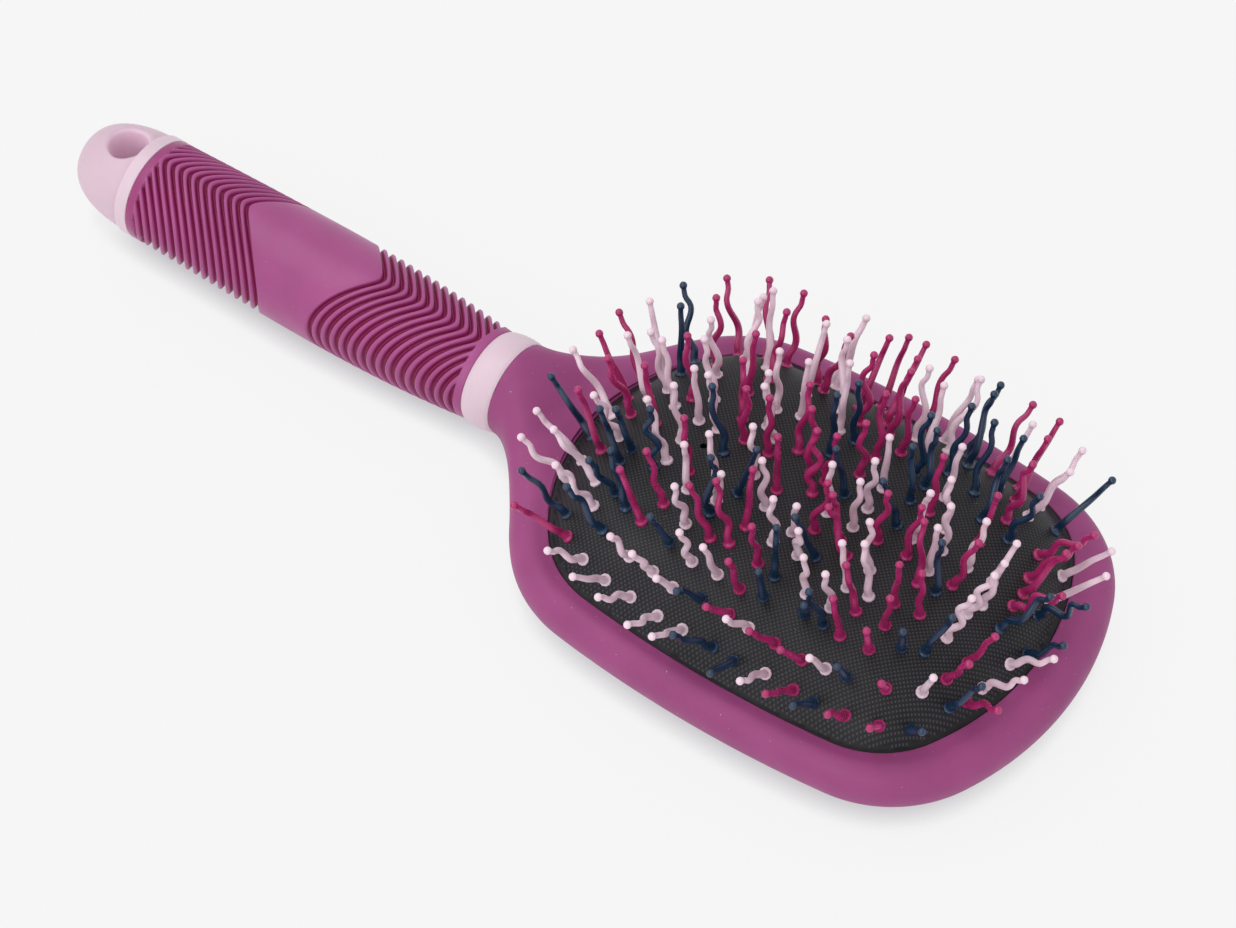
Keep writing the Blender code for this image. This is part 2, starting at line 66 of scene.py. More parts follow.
BACK_FLAT, BACK_POWER = 24.0, 2.5
RECESS_FLOOR, FLOOR_COVE, CLEARANCE = 6.6, 2.0, 0.3
NECK_LENGTH, NECK_RADIUS, NECK_MIDDLE_Z, NECK_DEEP, NECK_SPREAD = 10.3, 10.2, 13.1, 13.0, 26.0
NECK_INNER_TOP, NECK_INNER_BOTTOM, TANG_RADIUS = 15.0, 4.8, 6.2
COLLAR_LENGTH, COLLAR_SWELL = 7.0, 0.5
GRIP_LENGTH, GRIP_BELLY, GRIP_BELLY_AT = 88.2, 12.3, 42.7
GRIP_HEAD_RADIUS, GRIP_CAP_RADIUS, GRIP_HEAD_POWER, GRIP_CAP_POWER = 10.1, 11.55, 2.3, 1.6
HEAD_MARGIN, CAP_MARGIN, HEAD_FIELD, CAP_FIELD = 1.7, 1.9, 26.6, 24.5
RIB_PITCH, RIB_DEPTH = 2.22, 1.2
CAP_LENGTH, CAP_RING, CAP_RING_RISE, CAP_STEP, CAP_FULLNESS = 19.3, 3.0, 0.1, 0.3, 0.66
HOLE_FROM_END, HOLE_RADIUS, HOLE_WALL = 11.6, 4.3, 1.2

NECK_START = -HEAD_HANDLE - NECK_LENGTH
COLLAR_START = NECK_START - COLLAR_LENGTH
GRIP_START = COLLAR_START - GRIP_LENGTH
CAP_END = GRIP_START - CAP_LENGTH
HOLE_X = CAP_END + HOLE_FROM_END
TANG_END = HOLE_X + HOLE_RADIUS + HOLE_WALL + CLEARANCE
PAD_X = -(HEAD_TIP + CAP_END) / 2
AXIS_Z = GRIP_BELLY
ROW_STEP = (PAD_HALF - SECOND_ROW) / (len(ROW_COUNTS) - 1)
ROW_DEPTHS = [FIRST_ROW] + [SECOND_ROW + ROW_STEP * i for i in range(len(ROW_COUNTS) - 1)]
CENTRE_DEPTH = PAD_HALF - CENTRE_HALF

# the scene's own sizes, in millimetres
DOT_PITCH, DOT_HEIGHT, DOTS_START = 1.0, 0.15, 0.12
GRID_REACH = (60, 42)
DOME_START, SKIN, SKIN_INNER = 0.7, 1.5, 1.6
GROOVE_LIP, GROOVE_LIP_DROP, TOP_DROP = 0.4, 0.26, 0.6
NECK_BLEND, NECK_FACE_EDGE = 3.5, 0.5
COLLAR_POWER, COLLAR_EDGE, COLLAR_EDGE_SHARE = 0.7, 0.15, 0.04
CAP_INSET, CAP_COVE, CAP_COVE_WIDTH = 0.15, 0.3, 0.9
HOLE_EDGE, HOLE_PAINTED_LIGHT_FADE, RING_WALL = 1.3, 0.7, 1.2
FACE_GAP = 0.03
PADDLE_VOXEL, CAP_VOXEL = 0.75, 0.42


def quarter(a, b, end_r, side_r, corner_r, split):
    """Three tangent arcs from (a, 0) to (0, b)."""
    end = Vector((a - end_r, 0.0))
    side = Vector((0.0, b - side_r))
    r1, r2 = end_r - corner_r, side_r - corner_r
    gap = (side - end).length
    along = (side - end) / gap
    t = (r1 * r1 - r2 * r2 + gap * gap) / (2 * gap)
    h = math.sqrt(r1 * r1 - t * t)
    across = Vector((-along.y, along.x))
    corner = max((end + along * t + across * h, end + along * t - across * h), key=lambda c: c.x + c.y)
    a1 = math.atan2((corner - end).y, (corner - end).x)
    a2 = math.atan2((corner - side).y, (corner - side).x)
    points = []
    arcs = ((end, end_r, 0.0, a1), (corner, corner_r, a1, a2), (side, side_r, a2, math.pi / 2))
    for (c, r, start, stop), n in zip(arcs, split):
        for i in range(n):
            th = start + (stop - start) * i / n
            points.append((c.x + r * math.cos(th), c.y + r * math.sin(th)))
    return points, (0.0, b)


def contour(depth, split, rim=False):
    """Pad outline at a depth inside its edge; below 0 it lies outside, with rim as the head's outline."""
    half = PAD_HALF - depth
    if depth < 0:
        share, grow = (-depth / RIM_REACH, 0.0) if rim else (0.0, -depth)
        side = SIDE_RADIUS - depth
        tip, handle, tip_radius, handle_radius, tip_corner, handle_corner = (
            pad + grow + share * (head - pad)
            for pad, head in ((PAD_TIP, HEAD_TIP), (PAD_HANDLE, HEAD_HANDLE), (TIP_RADIUS, HEAD_TIP_RADIUS),
                              (HANDLE_RADIUS, HEAD_HANDLE_RADIUS), (TIP_CORNER, HEAD_TIP_CORNER),
                              (HANDLE_CORNER, HEAD_HANDLE_CORNER)))
    else:
        tip = PAD_TIP - (PAD_TIP - CENTRE_TIP) * depth / PAD_HALF
        handle = PAD_HANDLE - (PAD_HANDLE - CENTRE_HANDLE) * depth / PAD_HALF
        tip_radius, handle_radius, side = TIP_RADIUS, HANDLE_RADIUS, SIDE_RADIUS
        fade = max(1 - depth / CENTRE_DEPTH, 0.03)
        tip_corner, handle_corner = TIP_CORNER * fade, HANDLE_CORNER * fade
    front, top = quarter(tip - PAD_WIDEST, half, tip_radius, side, tip_corner, split)
    back, _ = quarter(handle + PAD_WIDEST, half, handle_radius, side, handle_corner, split)
    upper = front + [top] + [(-x, y) for x, y in reversed(back)]
    lower = [(x, -y) for x, y in reversed(upper[1:-1])]
    return [(x + PAD_WIDEST, y) for x, y in upper + lower]


def dome(depth):
    """Height of the rubber skin at a depth inside the pad's edge."""
    return PAD_EDGE_Z + DOME_RISE * (1 - np.exp(-depth / DOME_SPREAD))


def ease(share):
    return share * share * (3 - 2 * share)


TABLE_ANGLES = np.linspace(-math.pi, math.pi, 1441)
TABLE_DEPTHS = np.concatenate([np.linspace(-14, -0.5, 28), np.linspace(0, 34, 69)])


def radius_table():
    """Radius of the outline round the pad's middle, by depth and angle."""
    rows = []
    for depth in TABLE_DEPTHS:
        spots = np.array(contour(float(depth), (40, 60, 40), depth < 0)) - (PAD_WIDEST, 0)
        rows.append(np.interp(TABLE_ANGLES, np.arctan2(spots[:, 1], spots[:, 0]), np.hypot(*spots.T),
                              period=2 * math.pi))
    return np.array(rows)


RADII = radius_table()


def depth_at(x, y):
    """Depth inside the pad's edge at each point, negative outside it."""
    angle = np.arctan2(y, x - PAD_WIDEST)
    reach = np.hypot(x - PAD_WIDEST, y)
    place = (angle + math.pi) / (2 * math.pi) * (len(TABLE_ANGLES) - 1)
    i = np.clip(place.astype(int), 0, len(TABLE_ANGLES) - 2)
    t = place - i
    radii = RADII[:, i] * (1 - t) + RADII[:, i + 1] * t
    k = (radii > reach).sum(axis=0)
    low, high = np.clip(k - 1, 0, None), np.clip(k, None, len(TABLE_DEPTHS) - 1)
    n = np.arange(len(reach))
    r0, r1 = radii[low, n], radii[high, n]
    gap = np.where(np.abs(r0 - r1) < 1e-9, 1.0, r0 - r1)
    depth = TABLE_DEPTHS[low] + (TABLE_DEPTHS[high] - TABLE_DEPTHS[low]) * (r0 - reach) / gap
    depth = np.where(k == 0, TABLE_DEPTHS[0] - (reach - radii[0]), depth)
    return np.where(k == len(TABLE_DEPTHS), TABLE_DEPTHS[-1] + radii[-1] - reach, depth)


def outline_distance(outline, u, v):
    """Distance of points from a closed outline, negative inside it."""
    best = np.full(len(u), 1e9)
    inside = np.zeros(len(u), bool)
    for (ax, ay), (bx, by) in zip(outline, outline[1:] + outline[:1]):
        ex, ey = bx - ax, by - ay
        size = ex * ex + ey * ey
        if size < 1e-12:
            continue
        t = np.clip(((u - ax) * ex + (v - ay) * ey) / size, 0, 1)
        best = np.minimum(best, (u - ax - t * ex) ** 2 + (v - ay - t * ey) ** 2)
        if ey:
            inside ^= ((ay > v) != (by > v)) & (u < ax + (v - ay) / ey * ex)
    best = np.sqrt(best)
    return np.where(inside, -best, best)


def soft_min(a, b, k):
    """Lower of two fields, blended where they are within k of each other."""
    h = np.maximum(k - np.abs(a - b), 0) / k
    return np.minimum(a, b) - h * h * k / 4


def soft_max(a, b, k):
    return -soft_min(-a, -b, k)


def placed(name, data):
    thing = bpy.data.objects.new(name, data)
    bpy.context.scene.collection.objects.link(thing)
    return thing


def to_object(mesh, name):
    """Object of a bmesh, with outward normals."""
    data = bpy.data.meshes.new(name)
    bmesh.ops.recalc_face_normals(mesh, faces=mesh.faces)
    mesh.to_mesh(data)
    mesh.free()
    return placed(name, data)


def applied(thing):
    """The object with its modifiers applied."""
    graph = bpy.context.evaluated_depsgraph_get()
    data = bpy.data.meshes.new_from_object(thing.evaluated_get(graph))
    thing.modifiers.clear()
    old, thing.data = thing.data, data
    bpy.data.meshes.remove(old)
    return thing


def combine(thing, tool, how):
    """Boolean with another object, which is used up."""
    mod = thing.modifiers.new(tool.name, "BOOLEAN")
    mod.operation, mod.solver, mod.object = how, "EXACT", tool
    applied(thing)
    bpy.data.objects.remove(tool, do_unlink=True)


def drill(thing, name, spot, radius, depth, segments):
    """Round upright hole through an object."""
    mesh = bmesh.new()
    bmesh.ops.create_cone(mesh, cap_ends=True, segments=segments, radius1=radius, radius2=radius, depth=depth)
    bmesh.ops.translate(mesh, vec=spot, verts=mesh.verts)
    combine(thing, to_object(mesh, name), "DIFFERENCE")


def remeshed(thing, size):
    mod = thing.modifiers.new("remesh", "REMESH")
    mod.mode, mod.voxel_size = "VOXEL", size
    return applied(thing)


SETTLE_STEPS, SETTLE_PROBE, SETTLE_REACH, SETTLE_LEAST_SLOPE = 4, 0.02, 0.8, 0.2


def settle(thing, field):
    """Evens the mesh out and moves each point to where the field is nought."""
    mod = thing.modifiers.new("even", "SMOOTH")
    mod.factor, mod.iterations = 0.5, 4
    data = applied(thing).data
    spots = np.empty(len(data.vertices) * 3)
    data.vertices.foreach_get("co", spots)
    p = spots.reshape(-1, 3)
    probes = SETTLE_PROBE * np.eye(3)
    for _ in range(SETTLE_STEPS):
        value = field(p)
        rise = np.stack([(field(p + probe) - value) / SETTLE_PROBE for probe in probes], axis=1)
        size = np.maximum((rise * rise).sum(axis=1), SETTLE_LEAST_SLOPE)
        p = p - (np.clip(value, -SETTLE_REACH, SETTLE_REACH) / size)[:, None] * rise
    data.vertices.foreach_set("co", p.ravel())
    data.update()


def finish_piece(thing, paint, angle, body, slot, *nodes):
    """Takes a piece to the frame's metres, paints it and makes it ride."""
    thing.data.transform(Matrix.Scale(MM, 4) @ Matrix.Translation((PAD_X, 0, 0)))
    thing.data.materials.clear()
    thing.data.materials.append(paint)
    for face in thing.data.polygons:
        face.use_smooth = True
        face.material_index = 0
    if angle:
        thing.data.set_sharp_from_angle(angle=math.radians(angle))
    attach(thing, body)
    if nodes:
        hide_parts(*nodes)


def neighbours(rings, close):
    """Pairs of rings that follow each other; close adds the last with the first."""
    return list(zip(rings, rings[1:])) + ([(rings[-1], rings[0])] if close else [])


def bands(mesh, rings, close=False):
    """Quads between rings of equal length."""
    n = len(rings[0])
    for low, high in neighbours(rings, close):
        for i in range(n):
            j = (i + 1) % n
            mesh.faces.new((low[i], low[j], high[j], high[i]))


def capped(mesh, rings):
    """Closed mesh between rings."""
    bands(mesh, rings)
    mesh.faces.new(rings[0])
    mesh.faces.new(rings[-1])
    return mesh


def contour_rings(mesh, profile, split, rim=False):
    """Rings of points along the outline for a profile of (depth, z)."""
    return [[mesh.verts.new((x, y, z)) for x, y in contour(d, split, rim)] for d, z in profile]


def contour_solid(profile, split, rim=False):
    mesh = bmesh.new()
    return capped(mesh, contour_rings(mesh, profile, split, rim))


def turned(profile, sides, middle=None):
    """Piece turned round the handle's axis from (station, radius), closed on itself or on the axis."""
    mesh = bmesh.new()
    rings = []
    for k, (x, r) in enumerate(profile):
        z = AXIS_Z if middle is None else middle[k]
        if r < 1e-6:
            rings.append([mesh.verts.new((x, 0, z))])
            continue
        turn = [2 * math.pi * i / sides for i in range(sides)]
        rings.append([mesh.verts.new((x, r * math.sin(a), z + r * math.cos(a))) for a in turn])
    closed = len(rings[0]) > 1 and len(rings[-1]) > 1
    for low, high in neighbours(rings, closed):
        for i in range(sides):
            j = (i + 1) % sides
            spots = [low[0]] if len(low) == 1 else [low[i], low[j]]
            spots += [high[0]] if len(high) == 1 else [high[j], high[i]]
            mesh.faces.new(spots)
    return mesh


def linear(colour):
    """Linear values of a display colour from 0 to 255."""
    return tuple(c / 255 / 12.92 if c / 255 <= 0.04045 else ((c / 255 + 0.055) / 1.055) ** 2.4
                 for c in colour)


def fill(node, **values):
    """Sets a node's sockets by their names, with _ for a space."""
    for name, value in values.items():
        node.inputs[name.replace("_", " ")].default_value = value


class Paint:
    """Node material built up from noises in object space."""

    def __init__(self, name, rough, specular):
        self.mat = bpy.data.materials.new(name)
        self.mat.use_nodes = True
        self.tree = self.mat.node_tree
        self.shader = self.tree.nodes["Principled BSDF"]
        fill(self.shader, Roughness=rough, Specular_IOR_Level=specular)
        self.place = self.tree.nodes.new("ShaderNodeTexCoord").outputs["Object"]
        self.normal = None

    def node(self, kind, **values):
        made = self.tree.nodes.new(kind)
        for key, value in values.items():
            setattr(made, key, value)
        return made

    def link(self, a, b):
        self.tree.links.new(a, b)

    def noise(self, scale, detail, rough=0.5):
        made = self.node("ShaderNodeTexNoise")
        fill(made, Scale=scale, Detail=detail, Roughness=rough)
        self.link(self.place, made.inputs["Vector"])
        return made.outputs["Fac"]

    def range(self, value, low, high, to_low, to_high):
        made = self.node("ShaderNodeMapRange")
        fill(made, From_Min=low, From_Max=high, To_Min=to_low, To_Max=to_high)
        self.link(value, made.inputs["Value"])
        return made.outputs["Result"]

    def mix(self, share, a, b):
        made = self.node("ShaderNodeMix", data_type="RGBA")
        for name, value in (("A", a), ("B", b)):
            socket = [s for s in made.inputs if s.name == name and s.type == "RGBA"][0]
            if isinstance(value, tuple):
                socket.default_value = (*value, 1.0)
            else:
                self.link(value, socket)
        self.link(share, made.inputs["Factor"])
        return [s for s in made.outputs if s.type == "RGBA"][0]

    def bump(self, height, strength, distance):
        made = self.node("ShaderNodeBump")
        fill(made, Strength=strength, Distance=distance)
        self.link(height, made.inputs["Height"])
        if self.normal:
            self.link(self.normal, made.inputs["Normal"])
        self.normal = made.outputs["Normal"]
        self.link(self.normal, self.shader.inputs["Normal"])

    def colour(self, result):
        self.link(result, self.shader.inputs["Base Color"])

    def rough(self, result):
        self.link(result, self.shader.inputs["Roughness"])


DUST = (235, 215, 228)
PART_RANGE = (0.35, 1.0)


def moulded(name, base, rough, specular, mottle=0.08, grain=(2600, 0.00003), specks=None, edge=None,
            part=None, swell=0.0004):
    """Moulded plastic or rubber: mottled colour, fine grain, edge wear and painted edge highlight, a little
    dust.

    grain is scale and height of the fine bumps, specks scale and start of the dust, swell the height of the
    wide bumps, and part a point attribute, the colour it turns to, and the values where that starts and ends.
    """
    paint = Paint(name, rough, specular)
    main = linear(base)
    dark = tuple(c * (1 - mottle) for c in main)
    light = tuple(min(c * (1 + mottle), 1.0) for c in main)
    wide = paint.range(paint.noise(55, 4), 0.35, 0.65, 0, 1)
    result = paint.mix(wide, dark, light)
    if part:
        share = paint.node("ShaderNodeAttribute", attribute_name=part[0]).outputs["Fac"]
        low, high = part[2:] or PART_RANGE
        result = paint.mix(paint.range(share, low, high, 0, 1), result, linear(part[1]))
    # sharp edges turn towards the edge colour: partly wear, partly a painted highlight
    if edge:
        point = paint.node("ShaderNodeNewGeometry").outputs["Pointiness"]
        edge_wear_and_highlight = paint.node("ShaderNodeMath", operation="MULTIPLY")
        paint.link(paint.range(point, 0.53, 0.62, 0, 1), edge_wear_and_highlight.inputs[0])
        paint.link(paint.range(paint.noise(420, 3), 0.4, 0.65, 0.2, 0.8), edge_wear_and_highlight.inputs[1])
        result = paint.mix(edge_wear_and_highlight.outputs[0], result, linear(edge))
    if specks:
        dust = paint.range(paint.noise(specks[0], 2, 0.4), specks[1], specks[1] + 0.02, 0, 0.55)
        result = paint.mix(dust, result, linear(DUST))
    paint.colour(result)
    paint.rough(paint.range(paint.noise(180, 4), 0.3, 0.7, rough - 0.05, rough + 0.06))
    paint.bump(paint.noise(grain[0], 3, 0.6), 0.5, grain[1])
    if swell:
        paint.bump(paint.noise(120, 2), 0.12, swell)
    return paint


def translucent(paint, share, depths):
    fill(paint.shader, Subsurface_Weight=share, Subsurface_Radius=depths, Subsurface_Scale=1.0)


PIN_GRAIN = (1500, 0.000002)

# each edge colour below lightens sharp edges, partly as wear and partly as a painted highlight
plum = moulded("plum_soft_touch", (153, 68, 123), 0.48, 0.3, specks=(1900, 0.765), edge=(172, 92, 146))
# the groove attribute turns the rubber towards (134, 4, 74): painted shade in the rib grooves and on the
# margin by the cap
ribbed = moulded("magenta_rubber", (162, 72, 131), 0.36, 0.42, specks=(2100, 0.78), edge=(190, 104, 154),
                 part=("groove", (134, 4, 74), 0.05, 0.8))
pale = moulded("pale_pink_plastic", (222, 197, 210), 0.38, 0.45, mottle=0.03, edge=(230, 206, 219))
# the cap turns lighter pink on the wall of its hanging hole: painted light
cap_pale = moulded("pale_pink_cap", (214, 186, 201), 0.42, 0.4, mottle=0.03, edge=(228, 204, 217),
                   part=("hole_painted_light", (246, 218, 234)))
translucent(pale, 0.15, (0.004, 0.0018, 0.0024))
translucent(cap_pale, 0.15, (0.004, 0.0018, 0.0024))
# the dot tops turn lighter grey, towards (74, 75, 81): painted highlight
rubber = moulded("black_rubber", (18, 16, 20), 0.5, 0.32, mottle=0.14, grain=(3200, 0.00004),
                 specks=(2100, 0.79), part=("raised", (74, 75, 81)))
PIN_PAINTS = {
    "pale": moulded("pin_pale", (241, 215, 228), 0.33, 0.5, mottle=0.03, grain=PIN_GRAIN, swell=0),
    "magenta": moulded("pin_magenta", (174, 40, 106), 0.25, 0.5, mottle=0.05, grain=PIN_GRAIN, swell=0),
    "navy": moulded("pin_navy", (20, 50, 78), 0.22, 0.55, mottle=0.08, grain=PIN_GRAIN, swell=0),
}
for colour, reach in (("pale", 0.0012), ("magenta", 0.0006)):
    translucent(PIN_PAINTS[colour], 0.2, (reach, reach * 0.5, reach * 0.6))


def head_outline(steps):
    """Section of the closed head as (depth, z), from the middle of its back round the rim."""
    points = [(60.0, 0.0)]
    for i in range(steps + 1):
        t = math.pi / 2 * (1 - i / steps)
        out, drop = math.cos(t) ** (2 / BACK_POWER), math.sin(t) ** (2 / BACK_POWER)
        points.append((BACK_FLAT - (RIM_REACH + BACK_FLAT) * out, RIM_WIDEST_Z * (1 - drop)))
    for i in range(1, steps // 2 + 1):
        a = math.pi / 2 * i / (steps // 2)
        points.append((-RIM_CROWN - (RIM_REACH - RIM_CROWN) * math.cos(a),
                       RIM_WIDEST_Z + (RIM_CROWN_Z - RIM_WIDEST_Z) * math.sin(a)))
    return points + [(-0.7, RIM_CROWN_Z - 0.3), (2.0, RIM_CROWN_Z - 0.4), (12.0, RIM_CROWN_Z - TOP_DROP),
                     (60.0, RIM_CROWN_Z - TOP_DROP)]


def neck_shape(x):
    """Half width, top, bottom and roundness of the neck's section at a station."""
    end = -HEAD_HANDLE + NECK_DEEP
    e = ease(np.clip((x - NECK_START) / (end - NECK_START), 0, 1))
    top, bottom = NECK_MIDDLE_Z + NECK_RADIUS, NECK_MIDDLE_Z - NECK_RADIUS
    return (NECK_RADIUS + (NECK_SPREAD - NECK_RADIUS) * e, top + (NECK_INNER_TOP - top) * e,
            bottom + (NECK_INNER_BOTTOM - bottom) * e, 2 + 0.8 * e)


HEAD_OUTLINE = head_outline(48)


def paddle_field(p):
    """Signed distance from the closed paddle, about true near its surface."""
    x, y, z = p.T
    head = outline_distance(HEAD_OUTLINE, depth_at(x, y), z)
    w, top, bottom, power = neck_shape(x)
    u, v = np.abs(y), np.abs(z - (top + bottom) / 2)
    h = (top - bottom) / 2
    q = np.maximum((u / w) ** power + (v / h) ** power, 1e-9) ** (1 / power)
    steep = q ** (1 - power) * np.hypot(u ** (power - 1) / w ** power, v ** (power - 1) / h ** power)
    neck = (q - 1) / np.maximum(steep, 1e-3)
    neck = soft_max(neck, NECK_START - x, NECK_FACE_EDGE)
    neck = np.maximum(neck, x + HEAD_HANDLE - NECK_DEEP)
    return soft_min(head, neck, NECK_BLEND)


def add_neck(mesh, stations=24, sides=64):
    rings = []
    end = -HEAD_HANDLE + NECK_DEEP
    for i in range(stations + 1):
        x = NECK_START + (end - NECK_START) * i / stations
        w, top, bottom, power = (float(v) for v in neck_shape(x))
        ring = []
        for k in range(sides):
            a = 2 * math.pi * k / sides
            c, s = math.cos(a), math.sin(a)
            high = (top - bottom) / 2 * math.copysign(abs(c) ** (2 / power), c)
            ring.append(mesh.verts.new((x, w * math.copysign(abs(s) ** (2 / power), s),
                                        (top + bottom) / 2 + high)))
        rings.append(ring)
    capped(mesh, rings)


def paddle():
    """Head, neck and tang in one, with the recess and the groove that hold the pad."""
    outline = [(24.0, RIM_CROWN_Z - TOP_DROP)] + head_outline(16)[-4:0:-1]
    mesh = contour_solid(outline, (10, 16, 14), True)
    add_neck(mesh)
    thing = remeshed(to_object(mesh, "paddle_shell"), PADDLE_VOXEL)
    settle(thing, paddle_field)

    wall, groove = -CLEARANCE, -BEAD_REACH - CLEARANCE
    low, high = BEAD_BOTTOM - CLEARANCE, BEAD_BOTTOM + BEAD_HEIGHT + CLEARANCE
    lip, lip_top = GROOVE_LIP, RIM_CROWN_Z - GROOVE_LIP_DROP
    profile = [(FLOOR_COVE, RECESS_FLOOR), (wall, RECESS_FLOOR + FLOOR_COVE), (wall, low), (groove, low),
               (groove, high), (wall, high)]
    for i in range(7):
        a = math.pi / 2 * i / 6
        profile.append((wall - lip + lip * math.cos(a), lip_top - lip + lip * math.sin(a)))
    profile.append((wall - lip - 0.5, RIM_CROWN_Z + 3))
    combine(thing, to_object(contour_solid(profile, (16, 24, 20)), "recess"), "DIFFERENCE")
    tang = turned([(TANG_END, 0.0), (TANG_END, TANG_RADIUS), (-HEAD_HANDLE, TANG_RADIUS),
                   (-HEAD_HANDLE, 0.0)], 48)
    combine(thing, to_object(tang, "tang"), "UNION")
    finish_piece(thing, plum.mat, 40, "brush", "paddle", "paddle")


PAD_SPLIT = (14, 22, 18)


def dotted_top(mesh):
    """Top of the skin: a square grid with raised dots, filled out to a ring at the pad's edge."""
    step = DOT_PITCH / 2
    nx, ny = int(GRID_REACH[0] / step), int(GRID_REACH[1] / step)
    gx, gy = np.meshgrid(np.arange(-nx, nx + 1), np.arange(-ny, ny + 1), indexing="ij")
    x, y = gx * step, gy * step
    depth = depth_at(x.ravel(), y.ravel()).reshape(x.shape)
    held = depth > DOTS_START
    cells = held[:-1, :-1] & held[1:, :-1] & held[:-1, 1:] & held[1:, 1:]
    dots = (gx + gy) % 2 == 0
    dots[1:-1, 1:-1] &= cells[:-1, :-1] & cells[1:, :-1] & cells[:-1, 1:] & cells[1:, 1:]
    z = dome(np.clip(depth, DOME_START, CENTRE_DEPTH)) + np.where(dots, DOT_HEIGHT, 0.0)
    # marks the dot tops, which the rubber paints lighter: painted highlight
    raised = mesh.verts.layers.float.new("raised")
    verts = {}

    def vert(i, j):
        if (i, j) not in verts:
            verts[i, j] = mesh.verts.new((x[i, j], y[i, j], z[i, j]))
            verts[i, j][raised] = 1.0 if dots[i, j] else 0.0
        return verts[i, j]

    for i, j in np.argwhere(cells):
        a, b, c, d = vert(i, j), vert(i + 1, j), vert(i + 1, j + 1), vert(i, j + 1)
        if (gx[i, j] + gy[i, j]) % 2 == 0:
            mesh.faces.new((a, b, d))
            mesh.faces.new((b, c, d))
        else:
            mesh.faces.new((a, b, c))
            mesh.faces.new((a, c, d))
    edges = [e for e in mesh.edges if e.is_boundary]
    inner = list(dict.fromkeys(v for e in edges for v in e.verts))
    number = {v: i for i, v in enumerate(inner)}
    rim = [mesh.verts.new((px, py, dome(DOME_START))) for px, py in contour(0.0, PAD_SPLIT)]
    every = inner + rim
    start = len(inner)
    fixed = [(number[e.verts[0]], number[e.verts[1]]) for e in edges]
    fixed += [(start + i, start + (i + 1) % len(rim)) for i in range(len(rim))]
    for tri in delaunay_2d_cdt([v.co.xy for v in every], fixed, [], 0, 1e-6)[2]:
        mid = sum((every[i].co.xy for i in tri), Vector((0, 0))) / 3
        i, j = int(mid.x // step) + nx, int(mid.y // step) + ny
        if 0 <= i < cells.shape[0] and 0 <= j < cells.shape[1] and cells[i, j]:
            continue
        mesh.faces.new([every[i] for i in tri])
    return rim


def pad_dome():
    """Skin of the air cushion above its edge, with its raised dots, as a closed shell."""
    mesh = bmesh.new()
    rim = dotted_top(mesh)
    top = dome(DOME_START)
    side = [(-0.12, top - 0.03), (-0.22, top - 0.1), (-0.26, top - 0.25), (-0.26, PAD_EDGE_Z + 0.2),
            (0.0, PAD_EDGE_Z)]
    under = [(SKIN_INNER, PAD_EDGE_Z)]
    under += [(d, dome(d) - SKIN) for d in (2.2, 4, 6, 9, 12, 16, 20, 25, 30, CENTRE_DEPTH)]
    rings = [rim] + contour_rings(mesh, side + under, PAD_SPLIT)
    bands(mesh, rings)
    mesh.faces.new(rings[-1])
    thing = to_object(mesh, "rubber_pad")
    drill(thing, "vent", (VENT_SPOT.x, 0, dome(ROW_DEPTHS[VENT_ROW])), VENT_RADIUS, 8, 20)
    finish_piece(thing, rubber.mat, 50, "brush", "cushion_pad", "cushion_pad")
    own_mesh(thing)


def pad_bead():
    """Skirt and bead of the rubber skin, held in the paddle's groove."""
    mesh = bmesh.new()
    top = BEAD_BOTTOM + BEAD_HEIGHT
    profile = [(0.0, PAD_EDGE_Z), (0.0, top), (-BEAD_REACH + 0.3, top), (-BEAD_REACH, top - 0.3),
               (-BEAD_REACH, BEAD_BOTTOM + 0.3), (-BEAD_REACH + 0.3, BEAD_BOTTOM), (SKIRT, BEAD_BOTTOM),
               (SKIN_INNER, PAD_EDGE_Z)]
    bands(mesh, contour_rings(mesh, profile, (10, 16, 14)), True)
    finish_piece(to_object(mesh, "rubber_bead"), rubber.mat, 40, "brush", "cushion_pad")


def row_points(depth, count, phase):
    """Points at equal steps along a row, with the row's outward directions."""
    line = [Vector(p) for p in contour(depth, (24, 24, 24))]
    steps = [(line[(i + 1) % len(line)] - p).length for i, p in enumerate(line)]
    total = sum(steps)
    out = []
    for k in range(count):
        want = (k + phase) / count * total
        i = 0
        while want > steps[i]:
            want -= steps[i]
            i += 1
        a, b = line[i], line[(i + 1) % len(line)]
        way = (b - a).normalized()
        out.append((a + way * want, Vector((way.y, -way.x))))
    return out


VENT_SPOT = row_points(ROW_DEPTHS[VENT_ROW], ROW_COUNTS[VENT_ROW], 0.0)[ROW_COUNTS[VENT_ROW] // 2][0]

P, M, N = "pale", "magenta", "navy"
# outward lean of each row's pins, in degrees
LEANS = (40, 26, 17, 8, 4, 1.5, 0)
